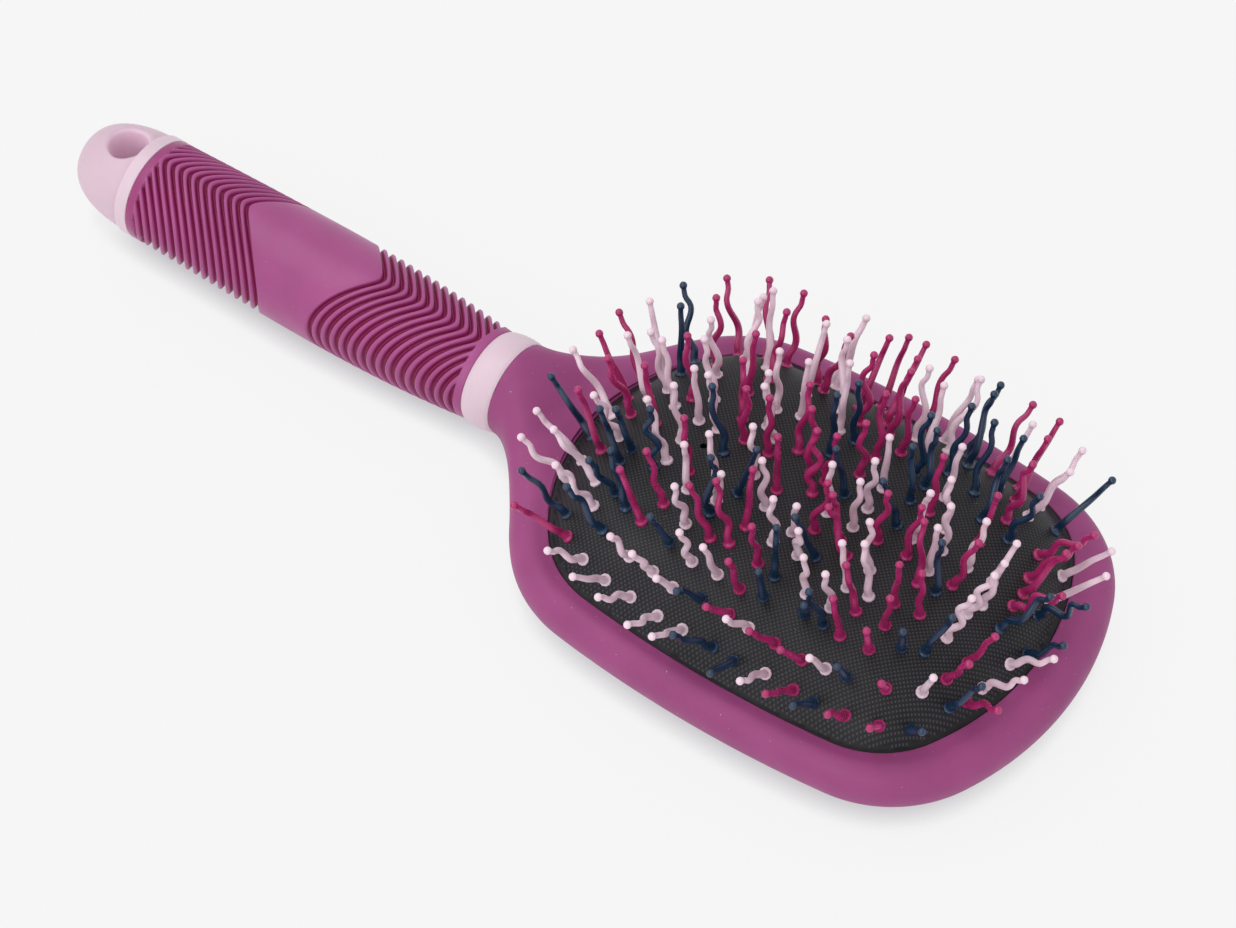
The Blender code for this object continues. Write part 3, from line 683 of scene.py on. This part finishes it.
# each pin of the six rows from the head's tip round its far side, then the middle row: colour, steps along
# its row and outward in 0.1 mm, lean and tilt beside the row's in degrees, way of its bend in degrees, sway
# in 0.1 mm, bends in hundredths and phase in 0.1 radian
PINS = (
    ((N, -19, 18, -8, -13, 329, 6, 105, -5), (N, -5, -1, -1, -10, 170, 13, 160, 11),
     (P, -24, 6, -1, 1, 65, 5, 110, -4), (P, -11, 14, -7, -8, 55, 4, 117, 2),
     (N, 21, -1, 1, 7, 256, 9, 90, 7), (P, 24, -3, -11, -3, 125, 9, 127, -2),
     (M, 21, -3, 1, -2, 270, 4, 142, -9), (M, 18, -15, 5, -2, 64, 12, 123, -3),
     (N, 26, -2, -1, 0, 345, 8, 120, -1), (P, 24, 7, -14, -8, 242, 6, 130, -5),
     (M, 19, 12, -4, -3, 358, 7, 109, 2), (M, 14, -18, 3, -3, 122, 3, 103, -5),
     (M, -11, 12, -8, -2, 300, 10, 109, 5), (P, 17, -16, -6, -4, 82, 7, 109, -2),
     (P, -24, 9, -9, -9, 42, 4, 121, 1), (M, 9, -12, -12, 2, 55, 9, 123, 0),
     (M, -10, -17, 14, 11, 95, 9, 105, 5), (M, -13, 18, -3, 7, 99, 13, 109, -2),
     (N, 14, 13, -2, -5, 219, 9, 132, -6), (P, 26, 4, -9, -5, 315, 4, 127, 0),
     (M, 10, 1, 1, -5, 199, 7, 119, 0), (M, 1, -4, -10, 0, 121, 4, 111, 2),
     (P, -5, -11, 1, -3, 122, 11, 103, -8), (N, -7, 2, -5, -1, 144, 11, 116, 9),
     (P, 2, -8, -7, 5, 349, 9, 94, -8), (P, -2, -2, -3, 2, 65, 8, 136, -1),
     (N, 13, -3, -8, 2, 196, 8, 119, 0), (M, 2, 2, 0, -3, 338, 11, 138, 0),
     (P, 5, -1, -3, 9, 300, 6, 124, -1), (P, 8, 1, 0, 4, 179, 4, 102, 7),
     (P, 10, 0, 2, 4, 149, 6, 117, -1), (P, 16, 1, 6, 7, 197, 8, 114, 1),
     (P, 12, -1, 5, 5, 213, 7, 126, -4), (N, 22, -2, -3, -9, 41, 7, 135, -5),
     (N, 9, 0, 6, 8, 54, 10, 91, 4), (P, 15, -5, 4, 4, 189, 6, 90, -5),
     (M, 17, -3, 3, 0, 199, 5, 133, -5), (N, 0, 1, 0, 3, 24, 12, 85, 4),
     (M, 4, -1, -3, 2, 331, 6, 98, 0), (M, 9, 3, -3, -5, 225, 13, 122, -3),
     (N, 4, 11, -4, -4, 227, 12, 98, 9), (N, 25, 4, -14, 5, 276, 11, 135, -5),
     (M, 1, 9, 2, -10, 292, 6, 116, 10), (P, -20, 7, -3, -2, 157, 7, 132, 7),
     (P, -2, 9, -1, -6, 120, 6, 120, -4)),
    ((M, 23, 1, 14, -5, 357, 13, 141, 11), (M, -2, 6, -1, 7, 290, 10, 100, 1),
     (M, -25, 2, 6, 1, 154, 7, 118, -8), (M, -26, 3, 11, -14, 161, 9, 142, -8),
     (P, 6, -4, -3, -10, 338, 5, 126, 0), (M, -10, -7, -2, -3, 297, 10, 104, 5),
     (P, -17, 10, -4, -8, 86, 5, 106, 3), (N, -6, 3, 5, 3, 320, 10, 86, -2),
     (P, -14, 11, 14, 1, 202, 11, 103, -1), (P, -11, -9, -5, 6, 6, 10, 112, -7),
     (M, -3, -13, 0, -7, 96, 12, 114, -7), (M, 2, -10, 8, -3, 291, 10, 111, -4),
     (M, 24, -8, -13, -12, 147, 8, 130, 5), (M, -13, 15, -14, 3, 151, 13, 108, 6),
     (P, 26, -17, 4, 12, 338, 5, 128, 7), (P, 18, 7, -13, -9, 319, 4, 101, -5),
     (M, 17, -13, -10, -2, 172, 13, 116, 4), (N, 26, 12, -12, -7, 145, 5, 86, 4),
     (P, 19, -18, -13, 6, 178, 9, 106, -4), (P, -2, -1, -6, 1, 298, 13, 88, 8),
     (M, -8, -3, -9, 5, 84, 9, 111, -2), (P, -1, -18, -13, 14, 234, 8, 149, -8),
     (M, -26, 4, -7, -4, 310, 12, 87, 1), (P, -1, -11, 5, -1, 117, 10, 85, -6),
     (P, 1, -9, 1, 1, 263, 8, 160, -7), (N, 3, -6, -3, -9, 295, 10, 134, 6),
     (P, 26, -2, 0, 5, 287, 7, 114, -2), (P, 23, -3, 2, 4, 197, 7, 139, 7),
     (P, 14, 1, 5, 9, 354, 11, 86, 8), (N, 14, -10, 10, 4, 347, 13, 85, 9),
     (M, 19, -10, 9, 3, 17, 10, 106, 7), (P, 5, -6, 8, 2, 60, 5, 108, 1),
     (M, 5, -4, 7, -2, 27, 6, 121, 8), (M, 6, 0, 7, 0, 0, 8, 115, -4),
     (P, -6, -4, 5, 2, 317, 3, 90, -1), (N, -23, -8, 4, 2, 341, 12, 110, -2),
     (M, -4, -4, 6, -6, 180, 9, 110, -1), (P, 1, 11, -1, -7, 261, 4, 113, -6),
     (M, -7, 11, 0, -7, 36, 5, 112, -10), (M, -14, 10, -4, -2, 357, 3, 118, -6),
     (N, 26, 6, 4, 12, 299, 12, 118, -12)),
    ((P, -24, 12, -4, 0, 355, 6, 130, -3), (P, -26, 3, -2, -3, 97, 11, 117, 0),
     (N, 25, -3, 1, 0, 197, 9, 140, 3), (M, 15, 4, -2, 2, 336, 13, 116, -12),
     (N, 11, 18, 2, -2, 260, 5, 126, 5), (N, -12, -1, 6, 4, 190, 7, 118, 0),
     (N, -2, 6, 5, 0, 195, 6, 152, -1), (P, -3, 12, 8, 6, 252, 5, 121, 4),
     (M, -16, -12, -12, -5, 1, 6, 107, -1), (M, -26, 18, 0, -4, 339, 10, 106, 0),
     (M, -21, 5, 2, 2, 20, 13, 127, 0), (P, -26, 12, 2, 6, 329, 13, 105, -1),
     (P, -11, 12, 9, 0, 294, 5, 102, -9), (M, 12, 6, 4, -1, 130, 11, 154, -2),
     (P, -3, 11, 6, -4, 232, 10, 119, -11), (P, -4, 13, -13, 4, 7, 9, 115, -1),
     (M, 16, -18, -7, -3, 70, 9, 103, 3), (P, -3, -7, 0, -4, 228, 4, 160, -8),
     (M, -1, -6, -7, 0, 328, 9, 105, 1), (N, 19, 3, -12, 14, 320, 10, 129, -6),
     (N, -3, 12, -3, 3, 316, 11, 128, 9), (N, 14, 7, 1, 14, 34, 6, 116, 12),
     (N, -1, -2, -10, -9, 84, 5, 109, -8), (M, -11, -8, -8, -12, 144, 6, 99, 0),
     (N, 5, -6, 7, 2, 337, 10, 98, 7), (P, 10, 3, 2, 3, 217, 7, 125, 2),
     (P, 10, -2, 4, 2, 210, 3, 97, -4), (M, 6, 0, 3, 3, 254, 4, 92, -3),
     (N, -4, -9, 2, 7, 316, 13, 85, 8), (N, 26, -18, 10, 14, 179, 7, 98, -4),
     (N, 12, -16, 1, -3, 25, 8, 113, -3), (M, -6, -10, -4, -1, 118, 4, 95, 1),
     (M, 0, -9, 7, 3, 134, 11, 134, 5), (N, 10, -17, 8, -6, 298, 11, 124, -1),
     (N, -7, 6, 1, 5, 257, 11, 106, -5), (P, -11, 9, -2, 3, 26, 11, 143, -6),
     (P, -1, 2, 0, 2, 32, 10, 136, 8)),
    ((M, 2, 1, 7, 3, 33, 8, 106, 4), (P, -5, 4, 2, 1, 157, 7, 139, -5),
     (M, 2, 3, 1, -2, 113, 8, 106, 5), (N, -8, 18, 9, 1, 305, 13, 116, 2),
     (P, 15, 3, -3, -7, 69, 4, 115, -8), (N, 2, 1, -2, -2, 314, 12, 129, 5),
     (N, -22, 18, 1, -3, 23, 10, 85, 3), (M, 1, -1, 4, 3, 347, 8, 121, -2),
     (N, 1, 13, -4, 2, 184, 6, 115, 5), (P, -20, 18, 8, 4, 284, 5, 147, -6),
     (P, 3, 7, -5, -2, 96, 4, 85, 7), (P, -6, -6, -3, 2, 88, 8, 116, 1),
     (M, 2, 12, -1, -3, 16, 3, 108, -12), (P, 7, 7, 3, 3, 350, 8, 136, 5),
     (P, 8, -13, -5, 3, 4, 3, 109, -5), (P, 11, -16, -2, 2, 55, 6, 101, 5),
     (P, 14, -17, 9, -2, 274, 7, 160, -12), (N, -19, -2, -4, -5, 33, 12, 160, -4),
     (M, 20, -5, 2, -7, 203, 5, 136, -7), (P, 26, 5, 6, 1, 73, 8, 126, -2),
     (M, 26, 2, 0, -13, 208, 5, 131, -10), (M, 4, -9, -10, -14, 85, 10, 140, 6),
     (M, 18, -4, 5, 2, 68, 5, 128, -3), (N, 2, 4, -6, 1, 126, 6, 123, -6),
     (P, 16, 4, 4, 3, 157, 8, 133, -4), (P, 13, 6, 7, 2, 71, 6, 108, -2),
     (M, 0, -10, 0, -6, 122, 10, 100, -5), (M, 6, -3, 10, 3, 196, 3, 98, 4),
     (M, 23, -6, -2, -6, 183, 4, 118, 3), (N, 26, -15, -6, -1, 316, 13, 99, 7)),
    ((P, 0, 3, 2, -4, 257, 3, 121, 5), (P, 3, 0, 1, -4, 27, 7, 119, -4),
     (P, 4, 2, -4, -2, 77, 10, 124, -4), (M, 0, 10, 3, -3, 57, 5, 118, 3),
     (N, -8, 10, -4, 2, 318, 11, 106, -5), (P, -2, 1, -4, -2, 151, 2, 92, 2),
     (M, 1, 2, -4, -2, 67, 11, 117, 2), (N, 24, 12, 2, 1, 89, 7, 111, -3),
     (M, 26, -18, 11, 2, 157, 10, 115, 3), (P, 26, -18, -8, 8, 264, 11, 120, 6),
     (P, 3, 4, -4, 1, 324, 11, 110, -2), (M, 1, 3, 2, 1, 130, 12, 128, -5),
     (P, 2, 4, 3, 4, 222, 5, 121, 6), (M, 19, -9, 0, 1, 99, 7, 138, 1),
     (P, 14, 1, 1, 5, 297, 8, 124, 2), (P, 21, -15, 10, 14, 150, 6, 114, 6),
     (N, -24, 17, -6, -2, 254, 13, 89, 2), (M, -2, 1, -10, 0, 98, 4, 118, -5),
     (P, 9, -1, 3, 3, 58, 8, 118, -3), (P, 13, -2, 14, 10, 158, 9, 146, -7),
     (N, -9, -18, 12, -9, 208, 3, 106, -4), (P, 26, 11, 4, -2, 103, 4, 137, 2),
     (P, 18, 8, -2, -5, 90, 7, 111, -7), (M, 11, 12, 6, 0, 162, 3, 103, -1),
     (M, 16, 4, -9, 8, 85, 8, 98, -3)),
    ((M, 4, 4, 6, 2, 181, 8, 85, -11), (P, -4, -7, 4, -9, 299, 11, 123, -5),
     (N, -15, 2, -14, 6, 106, 10, 126, 8), (P, -2, -2, -3, -4, 175, 8, 140, -2),
     (N, -2, 1, -11, 4, 112, 9, 90, -8), (M, -7, 5, -3, -8, 165, 10, 101, 7),
     (M, -26, 11, 5, 6, 243, 9, 118, 4), (M, 12, 3, 0, 2, 174, 6, 136, 7),
     (M, 11, 12, -3, 0, 218, 7, 115, -1), (N, -8, 18, 14, -6, 55, 8, 88, 4),
     (P, 13, 14, 4, -3, 105, 6, 135, -5), (N, -4, 6, -4, 13, 263, 2, 109, 5),
     (P, 3, -2, 5, 0, 213, 7, 120, 1), (P, 26, 18, 14, 12, 328, 5, 109, 0),
     (M, 2, -11, -2, 8, 188, 10, 89, 3), (M, 4, -18, 7, -4, 295, 13, 124, 1),
     (M, -22, 8, 7, -12, 281, 11, 101, 2), (P, -26, 7, 2, -2, 193, 9, 85, -10)),
    ((P, -5, 2, 0, -4, 88, 10, 126, -5), (M, -10, 0, -1, 0, 130, 5, 101, 1),
     (M, 25, 2, -4, 8, 205, 12, 150, 11), (P, 1, -6, 3, -2, 29, 4, 127, -2),
     (P, 1, -4, 5, -3, 170, 6, 117, -4), (M, 2, -7, 6, -1, 219, 8, 130, 0)),
)


PIN_SIDES = 10
STEM_START, STEM_END, STEM_RADIUS, STEM_TAPER = 1.4, PIN_LENGTH - 0.72, 0.81, 0.26
# a pin that stands at least ROOT_LIMIT (in 0.1 mm) out from its row has the shorter root, clear of the bead
ROOT_RADIUS, ROOT_DEEP, ROOT_SHORT, ROOT_LIMIT = 1.22, -1.1, -0.5, 3
BEND_LOW, BEND_HIGH, BEND_FADE, BEND_PROBE = 1.2, PIN_LENGTH - 1.3, 0.2, 0.15


def stem_profile():
    """A pin above the skin as (height, radius): its foot, tapering stem and ball."""
    profile = [(-0.05, 1.3), (0.2, 1.31), (0.36, 1.25), (0.5, 1.06), (0.68, 0.92), (1.0, 0.85)]
    for height in np.linspace(STEM_START, STEM_END, 21):
        share = (height - STEM_START) / (STEM_END - STEM_START)
        profile.append((float(height), float(STEM_RADIUS - STEM_TAPER * share)))
    for angle in (45, 65, 90, 115, 140, 162):
        profile.append((PIN_LENGTH - BALL_RADIUS * math.cos(math.radians(angle)),
                        BALL_RADIUS * math.sin(math.radians(angle))))
    return profile


STEM = stem_profile()


def add_pin(mesh, foot, root, up, turn, sway, periods, phase):
    """Adds a wavy pin with a ball at its tip; root is where it starts under the skin."""
    side = up.cross(Vector((0, 1, 0))).normalized()
    bend = side * math.cos(turn) + up.cross(side) * math.sin(turn)
    across = up.cross(bend)

    def centre(height):
        u = min(max((height - BEND_LOW) / (BEND_HIGH - BEND_LOW), 0.0), 1.0)
        hold = ease(min(u / BEND_FADE, 1.0)) * ease(min((1 - u) / BEND_FADE, 1.0))
        return foot + up * height + bend * (sway * hold * math.sin(2 * math.pi * periods * (u - 0.5) + phase))

    rings = []
    for height, radius in [(root, ROOT_RADIUS)] + STEM:
        middle = centre(height)
        way = (centre(height + BEND_PROBE) - centre(height - BEND_PROBE)).normalized()
        if height > PIN_LENGTH - BALL_RADIUS:
            way = up
        flat = way.cross(across)
        rings.append([mesh.verts.new(middle + (across * math.cos(a) + flat * math.sin(a)) * radius)
                      for a in (2 * math.pi * i / PIN_SIDES for i in range(PIN_SIDES))])
    bands(mesh, rings)
    mesh.faces.new(rings[0])
    tip = mesh.verts.new(centre(PIN_LENGTH + BALL_RADIUS))
    for i in range(PIN_SIDES):
        mesh.faces.new((rings[-1][i], rings[-1][(i + 1) % PIN_SIDES], tip))


def pin_places(row):
    """Spots, outward ways and depths of a row's pins; the last row stands along the middle."""
    if row == len(ROW_COUNTS):
        step = (CENTRE_TIP + CENTRE_HANDLE) / (CENTRE_PINS - 1)
        return [(Vector((-CENTRE_HANDLE + step * k, 0)), Vector((1, 0)), CENTRE_DEPTH)
                for k in range(CENTRE_PINS)]
    depth, count = ROW_DEPTHS[row], ROW_COUNTS[row]
    points = row_points(depth, count, 0.5 if count % 2 else 0.0)
    return [(spot, outward, depth) for k, (spot, outward) in enumerate(points)
            if row != VENT_ROW or k != count // 2]


def pins():
    """All pins, as one piece for each colour in each ring."""
    meshes = {}
    for row, table in enumerate(PINS):
        ring = min(row, len(ROW_COUNTS) - 1) + 1
        for (spot, outward, depth), pin in zip(pin_places(row), table):
            colour, along, across, lean, tilt, turn, sway, bends, phase = pin
            sideways = Vector((-outward.y, outward.x))
            flat = spot + sideways * (along / 10) + outward * (across / 10)
            foot = Vector((flat.x, flat.y, dome(min(max(depth - across / 10, 0), CENTRE_DEPTH))))
            push = outward * math.sin(math.radians(LEANS[row] + lean))
            push += sideways * math.sin(math.radians(tilt))
            up = Vector((push.x, push.y, math.sqrt(max(1 - push.length_squared, 0.01))))
            root = ROOT_DEEP if across < ROOT_LIMIT else ROOT_SHORT
            if (ring, colour) not in meshes:
                meshes[ring, colour] = bmesh.new()
            add_pin(meshes[ring, colour], foot, root, up, math.radians(turn), sway / 10, bends / 100,
                    phase / 10)
    for (ring, colour), mesh in sorted(meshes.items()):
        name = "pins_%d_%s" % (ring, colour)
        finish_piece(to_object(mesh, name), PIN_PAINTS[colour].mat, 60, "ring_%d" % ring, "pin_ring",
                     "pin_ring_%d" % ring)


def rounded(points, reach, steps=4):
    """Polyline with its inner corners eased by quadratic curves."""
    out = [points[0]]
    for a, b, c in zip(points, points[1:], points[2:]):
        a, b, c = Vector(a), Vector(b), Vector(c)
        r = min(reach, (a - b).length * 0.45, (c - b).length * 0.45)
        p, q = b + (a - b).normalized() * r, b + (c - b).normalized() * r
        for i in range(steps + 1):
            t = i / steps
            out.append(tuple(p * (1 - t) ** 2 + b * 2 * t * (1 - t) + q * t * t))
    return out + [points[-1]]


def collar():
    """Ring between grip and neck."""
    a, b = COLLAR_START + FACE_GAP, NECK_START - FACE_GAP
    bore = TANG_RADIUS + CLEARANCE
    outer = []
    for i in range(17):
        s = i / 16
        swell = COLLAR_SWELL * math.sin(math.pi * s) ** COLLAR_POWER
        r = GRIP_HEAD_RADIUS + (NECK_RADIUS - GRIP_HEAD_RADIUS) * s + swell
        edge = COLLAR_EDGE * (1 - min(1.0, min(s, 1 - s) / COLLAR_EDGE_SHARE)) ** 2
        outer.append((a + (b - a) * s, r - edge))
    profile = [(a, bore)] + outer + [(b, bore)]
    middle = [AXIS_Z + (NECK_MIDDLE_Z - AXIS_Z) * (x - a) / (b - a) for x, _ in profile]
    middle[0], middle[-1] = AXIS_Z, AXIS_Z
    thing = to_object(turned(profile, 96, middle), "collar_ring")
    finish_piece(thing, pale.mat, 40, "brush", "pale_plastic", "collar")


def grip_radius(x):
    """Radius of the sleeve over its ribs at a station."""
    belly = COLLAR_START - GRIP_BELLY_AT
    if x > belly:
        share = (x - belly) / GRIP_BELLY_AT
        return GRIP_BELLY - (GRIP_BELLY - GRIP_HEAD_RADIUS) * share ** GRIP_HEAD_POWER
    share = (belly - x) / (GRIP_LENGTH - GRIP_BELLY_AT)
    return GRIP_BELLY - (GRIP_BELLY - GRIP_CAP_RADIUS) * share ** GRIP_CAP_POWER


GRIP_SIDES, PANEL_STEPS = 160, 10
APEX_EASE, GROOVE_END = 1.5, 0.35
MARGIN_SHADE = 0.35
# one groove as (place in pitches, share of its depth)
RIB_SECTION = ((-0.5, 0.0), (-0.38, 0.03), (-0.3, 0.13), (-0.22, 0.5), (-0.15, 1.0), (0.15, 1.0),
               (0.22, 0.5), (0.3, 0.13), (0.38, 0.03))


def grip():
    """Rubber sleeve with two fields of oblique ribs and a bare panel between them."""
    mesh = bmesh.new()
    groove = mesh.verts.layers.float.new("groove")
    cap_clip = GRIP_START + CAP_MARGIN
    head_clip = COLLAR_START - HEAD_MARGIN
    cap_apex = cap_clip + CAP_FIELD
    head_apex = head_clip - HEAD_FIELD
    bore = TANG_RADIUS + CLEARANCE
    turns = [2 * math.pi * k / GRIP_SIDES for k in range(GRIP_SIDES)]

    def bow(across):
        return math.sqrt(across * across + APEX_EASE ** 2) - APEX_EASE

    def vert(x, r, a):
        return mesh.verts.new((x, r * math.sin(a), AXIS_Z + r * math.cos(a)))

    def plain(x, r):
        return [vert(x, r, a) for a in turns]

    def line(apex, way, clip, sunk):
        ring = []
        for a in turns:
            across = grip_radius(max(GRIP_START, min(COLLAR_START, apex))) * math.sin(a)
            x = apex + way * bow(across)
            past = (x - clip) * way
            share = sunk * ease(min(max(past / GROOVE_END, 0.0), 1.0))
            x = clip if past <= 0 else x
            v = vert(x, grip_radius(x) - RIB_DEPTH * share, a)
            # the same share darkens the colour here: painted shade in the groove
            v[groove] = share
            ring.append(v)
        return ring

    def field(apex, way, clip, length):
        rings = []
        for n in range(int((length + GRIP_BELLY) / RIB_PITCH) + 1):
            for offset, sunk in RIB_SECTION:
                distance = (n + 0.5 + offset) * RIB_PITCH
                rings.append(line(apex - way * distance, way, clip, sunk))
        return rings

    first = field(cap_apex, 1, cap_clip, CAP_FIELD)[::-1]
    second = field(head_apex, -1, head_clip, HEAD_FIELD)
    margin = [plain(*e) for e in ((GRIP_START, bore), (GRIP_START, GRIP_CAP_RADIUS - 0.25),
                                  (GRIP_START + 0.08, GRIP_CAP_RADIUS - 0.08),
                                  (GRIP_START + 0.3, GRIP_CAP_RADIUS + 0.02),
                                  (cap_clip - 0.1, grip_radius(cap_clip - 0.1)),
                                  (cap_clip, grip_radius(cap_clip)))]
    # the margin by the cap takes part of the groove colour: painted shade
    for ring in margin:
        for v in ring:
            v[groove] = MARGIN_SHADE
    rings = margin + first
    for i in range(1, PANEL_STEPS):
        s = i / PANEL_STEPS
        ring = []
        for a in turns:
            reach = bow(GRIP_BELLY * math.sin(a))
            x = (cap_apex + reach) * (1 - s) + (head_apex - reach) * s
            ring.append(vert(x, grip_radius(x), a))
        rings.append(ring)
    rings += second
    rings += [plain(*e) for e in ((head_clip, grip_radius(head_clip)),
                                  (head_clip + 0.1, grip_radius(head_clip + 0.1)),
                                  (COLLAR_START - 0.3, GRIP_HEAD_RADIUS + 0.02),
                                  (COLLAR_START - 0.08, GRIP_HEAD_RADIUS - 0.08),
                                  (COLLAR_START, GRIP_HEAD_RADIUS - 0.25), (COLLAR_START, bore))]
    bands(mesh, rings, True)
    bmesh.ops.remove_doubles(mesh, verts=mesh.verts, dist=1e-4)
    finish_piece(to_object(mesh, "grip_rubber"), ribbed.mat, 0, "brush", "grip_sleeve", "grip_sleeve")


def cap_outline():
    """Half section of the cap's dome from the ring to its end, as (station, radius)."""
    face = GRIP_START - CLEARANCE
    ring_r = GRIP_CAP_RADIUS + CAP_RING_RISE
    ring_end = GRIP_START - CAP_RING
    length, r = ring_end - CAP_END, ring_r - CAP_STEP - CAP_INSET
    points = [(face, 0.0), (face, r - CAP_COVE), (ring_end, r - CAP_COVE)]
    for i in range(1, 40):
        a = math.pi / 2 * i / 40
        x = ring_end - length * math.sin(a)
        cove = CAP_COVE * math.exp(-((x - ring_end) / CAP_COVE_WIDTH) ** 2)
        points.append((x, r * math.cos(a) ** CAP_FULLNESS - cove))
    return points + [(CAP_END, 0.0)]


CAP_OUTLINE = cap_outline()


def cap_field(p):
    """Signed distance from the cap's dome with its hanging hole."""
    x, y, z = p.T
    mirror = CAP_OUTLINE + [(s, -r) for s, r in CAP_OUTLINE[-2:0:-1]]
    ball = outline_distance(mirror, x, np.hypot(y, z - AXIS_Z))
    hole = HOLE_RADIUS - np.hypot(x - HOLE_X, y)
    return soft_max(ball, hole, HOLE_EDGE)


def cap():
    """Dome with the hanging hole and the socket for the tang, and the ring before it."""
    thing = to_object(turned(CAP_OUTLINE, 72), "end_dome")
    drill(thing, "hole", (HOLE_X, 0, AXIS_Z), HOLE_RADIUS, 40, 48)
    remeshed(thing, CAP_VOXEL)
    settle(thing, cap_field)
    # painted light: points on and near the hanging hole's wall take the lighter pink
    hole_painted_light = thing.data.attributes.new("hole_painted_light", "FLOAT", "POINT")
    for vert, value in zip(thing.data.vertices, hole_painted_light.data):
        away = math.hypot(vert.co.x - HOLE_X, vert.co.y) - HOLE_RADIUS
        value.value = 1 - min(max(away / HOLE_PAINTED_LIGHT_FADE, 0.0), 1.0)
    socket = turned([(TANG_END - CLEARANCE, 0.0), (TANG_END - CLEARANCE, TANG_RADIUS + CLEARANCE),
                     (GRIP_START + 2, TANG_RADIUS + CLEARANCE), (GRIP_START + 2, 0.0)], 48)
    combine(thing, to_object(socket, "socket"), "DIFFERENCE")
    finish_piece(thing, cap_pale.mat, 40, "brush", "pale_plastic", "end_cap")

    face, end = GRIP_START - FACE_GAP, GRIP_START - CAP_RING
    r, bore = GRIP_CAP_RADIUS + CAP_RING_RISE, GRIP_CAP_RADIUS - RING_WALL
    profile = rounded([(face, bore), (face, r), (end, r), (end, bore)], 0.25)
    finish_piece(to_object(turned(profile, 96), "end_ring"), pale.mat, 40, "brush", "pale_plastic")


paddle()
pad_dome()
pad_bead()
pins()
collar()
grip()
cap()


# the floor in metres, its shade under the object by ambient occlusion, and how far it shows its own tone
FLOOR_HALF, FLOOR_Z = 3.0, -0.0002
FLOOR_TONE, SHADE_TONE = (246, 246, 246), (190, 187, 192)
SHADE_REACH, SHADE_RANGE = 0.010, (0.18, 0.6)
FLOOR_CLEAR = 0.93
WORLD_LIGHT, WORLD_SEEN = 0.72, 0.92
# the photo's camera: focal length in the photo's pixels, place in metres and turn in degrees
FOCAL_PIXELS, PHOTO_WIDTH, SENSOR = 4000, 1236, 36
CAMERA_PLACE, CAMERA_TURN = (0.313716, -0.41165, 0.645391), (38.5, 0, 35.8306)


def seen_directly(tree):
    """1 for camera rays and what gloss and glass show, 0 for the light on the object."""
    path = tree.nodes.new("ShaderNodeLightPath")
    total = path.outputs["Is Camera Ray"]
    for name in ("Is Glossy Ray", "Is Transmission Ray"):
        add = tree.nodes.new("ShaderNodeMath")
        add.operation, add.use_clamp = "ADD", True
        tree.links.new(total, add.inputs[0])
        tree.links.new(path.outputs[name], add.inputs[1])
        total = add.outputs[0]
    return total


def stage():
    """Pale floor that shows the object's soft shade."""
    data = bpy.data.meshes.new("floor")
    s = FLOOR_HALF
    data.from_pydata([(x, y, FLOOR_Z) for x, y in ((-s, -s), (s, -s), (s, s), (-s, s))], [], [(0, 1, 2, 3)])
    floor = placed("floor", data)
    paint = Paint("floor_paper", 0.9, 0.1)
    tone = linear(FLOOR_TONE)
    paint.colour(paint.mix(paint.noise(30, 2), tuple(c * 0.995 for c in tone), tone))
    near = paint.node("ShaderNodeAmbientOcclusion", samples=16)
    fill(near, Distance=SHADE_REACH)
    glow = paint.node("ShaderNodeEmission")
    paint.link(paint.mix(paint.range(near.outputs["AO"], *SHADE_RANGE, 0, 1), linear(SHADE_TONE), tone),
               glow.inputs["Color"])
    both = paint.node("ShaderNodeMixShader")
    seen = paint.node("ShaderNodeMath", operation="MULTIPLY")
    seen.inputs[1].default_value = FLOOR_CLEAR
    paint.link(seen_directly(paint.tree), seen.inputs[0])
    paint.link(seen.outputs[0], both.inputs["Fac"])
    paint.link(paint.shader.outputs["BSDF"], both.inputs[1])
    paint.link(glow.outputs["Emission"], both.inputs[2])
    paint.link(both.outputs["Shader"], paint.tree.nodes["Material Output"].inputs["Surface"])
    data.materials.append(paint.mat)


def sun(name, azimuth, elevation, strength, angle):
    """Sun from a compass direction, 0 along +X and 90 along +Y."""
    data = bpy.data.lights.new(name, "SUN")
    data.energy, data.angle = strength, math.radians(angle)
    thing = placed(name, data)
    a, e = math.radians(azimuth), math.radians(elevation)
    way = Vector((math.cos(a) * math.cos(e), math.sin(a) * math.cos(e), math.sin(e)))
    thing.rotation_euler = way.to_track_quat("Z", "Y").to_euler()


def lights():
    """Pale world and two wide suns."""
    world = bpy.data.worlds.new("studio")
    bpy.context.scene.world = world
    world.use_nodes = True
    tree = world.node_tree
    back = tree.nodes["Background"]
    mix = tree.nodes.new("ShaderNodeMix")
    mix.data_type = "FLOAT"
    fill(mix, A=WORLD_LIGHT, B=WORLD_SEEN)
    fill(back, Color=(1, 1, 1, 1))
    tree.links.new(seen_directly(tree), mix.inputs["Factor"])
    tree.links.new(mix.outputs["Result"], back.inputs["Strength"])
    sun("key", 200, 62, 0.68, 50)
    sun("fill", 275, 32, 0.62, 50)


def camera():
    data = bpy.data.cameras.new("camera")
    data.lens = FOCAL_PIXELS / PHOTO_WIDTH * SENSOR
    data.sensor_width = SENSOR
    thing = placed("camera", data)
    thing.location = CAMERA_PLACE
    thing.rotation_euler = tuple(math.radians(a) for a in CAMERA_TURN)
    bpy.context.scene.camera = thing
    bpy.context.scene.view_settings.view_transform = "Standard"


stage()
lights()
camera()
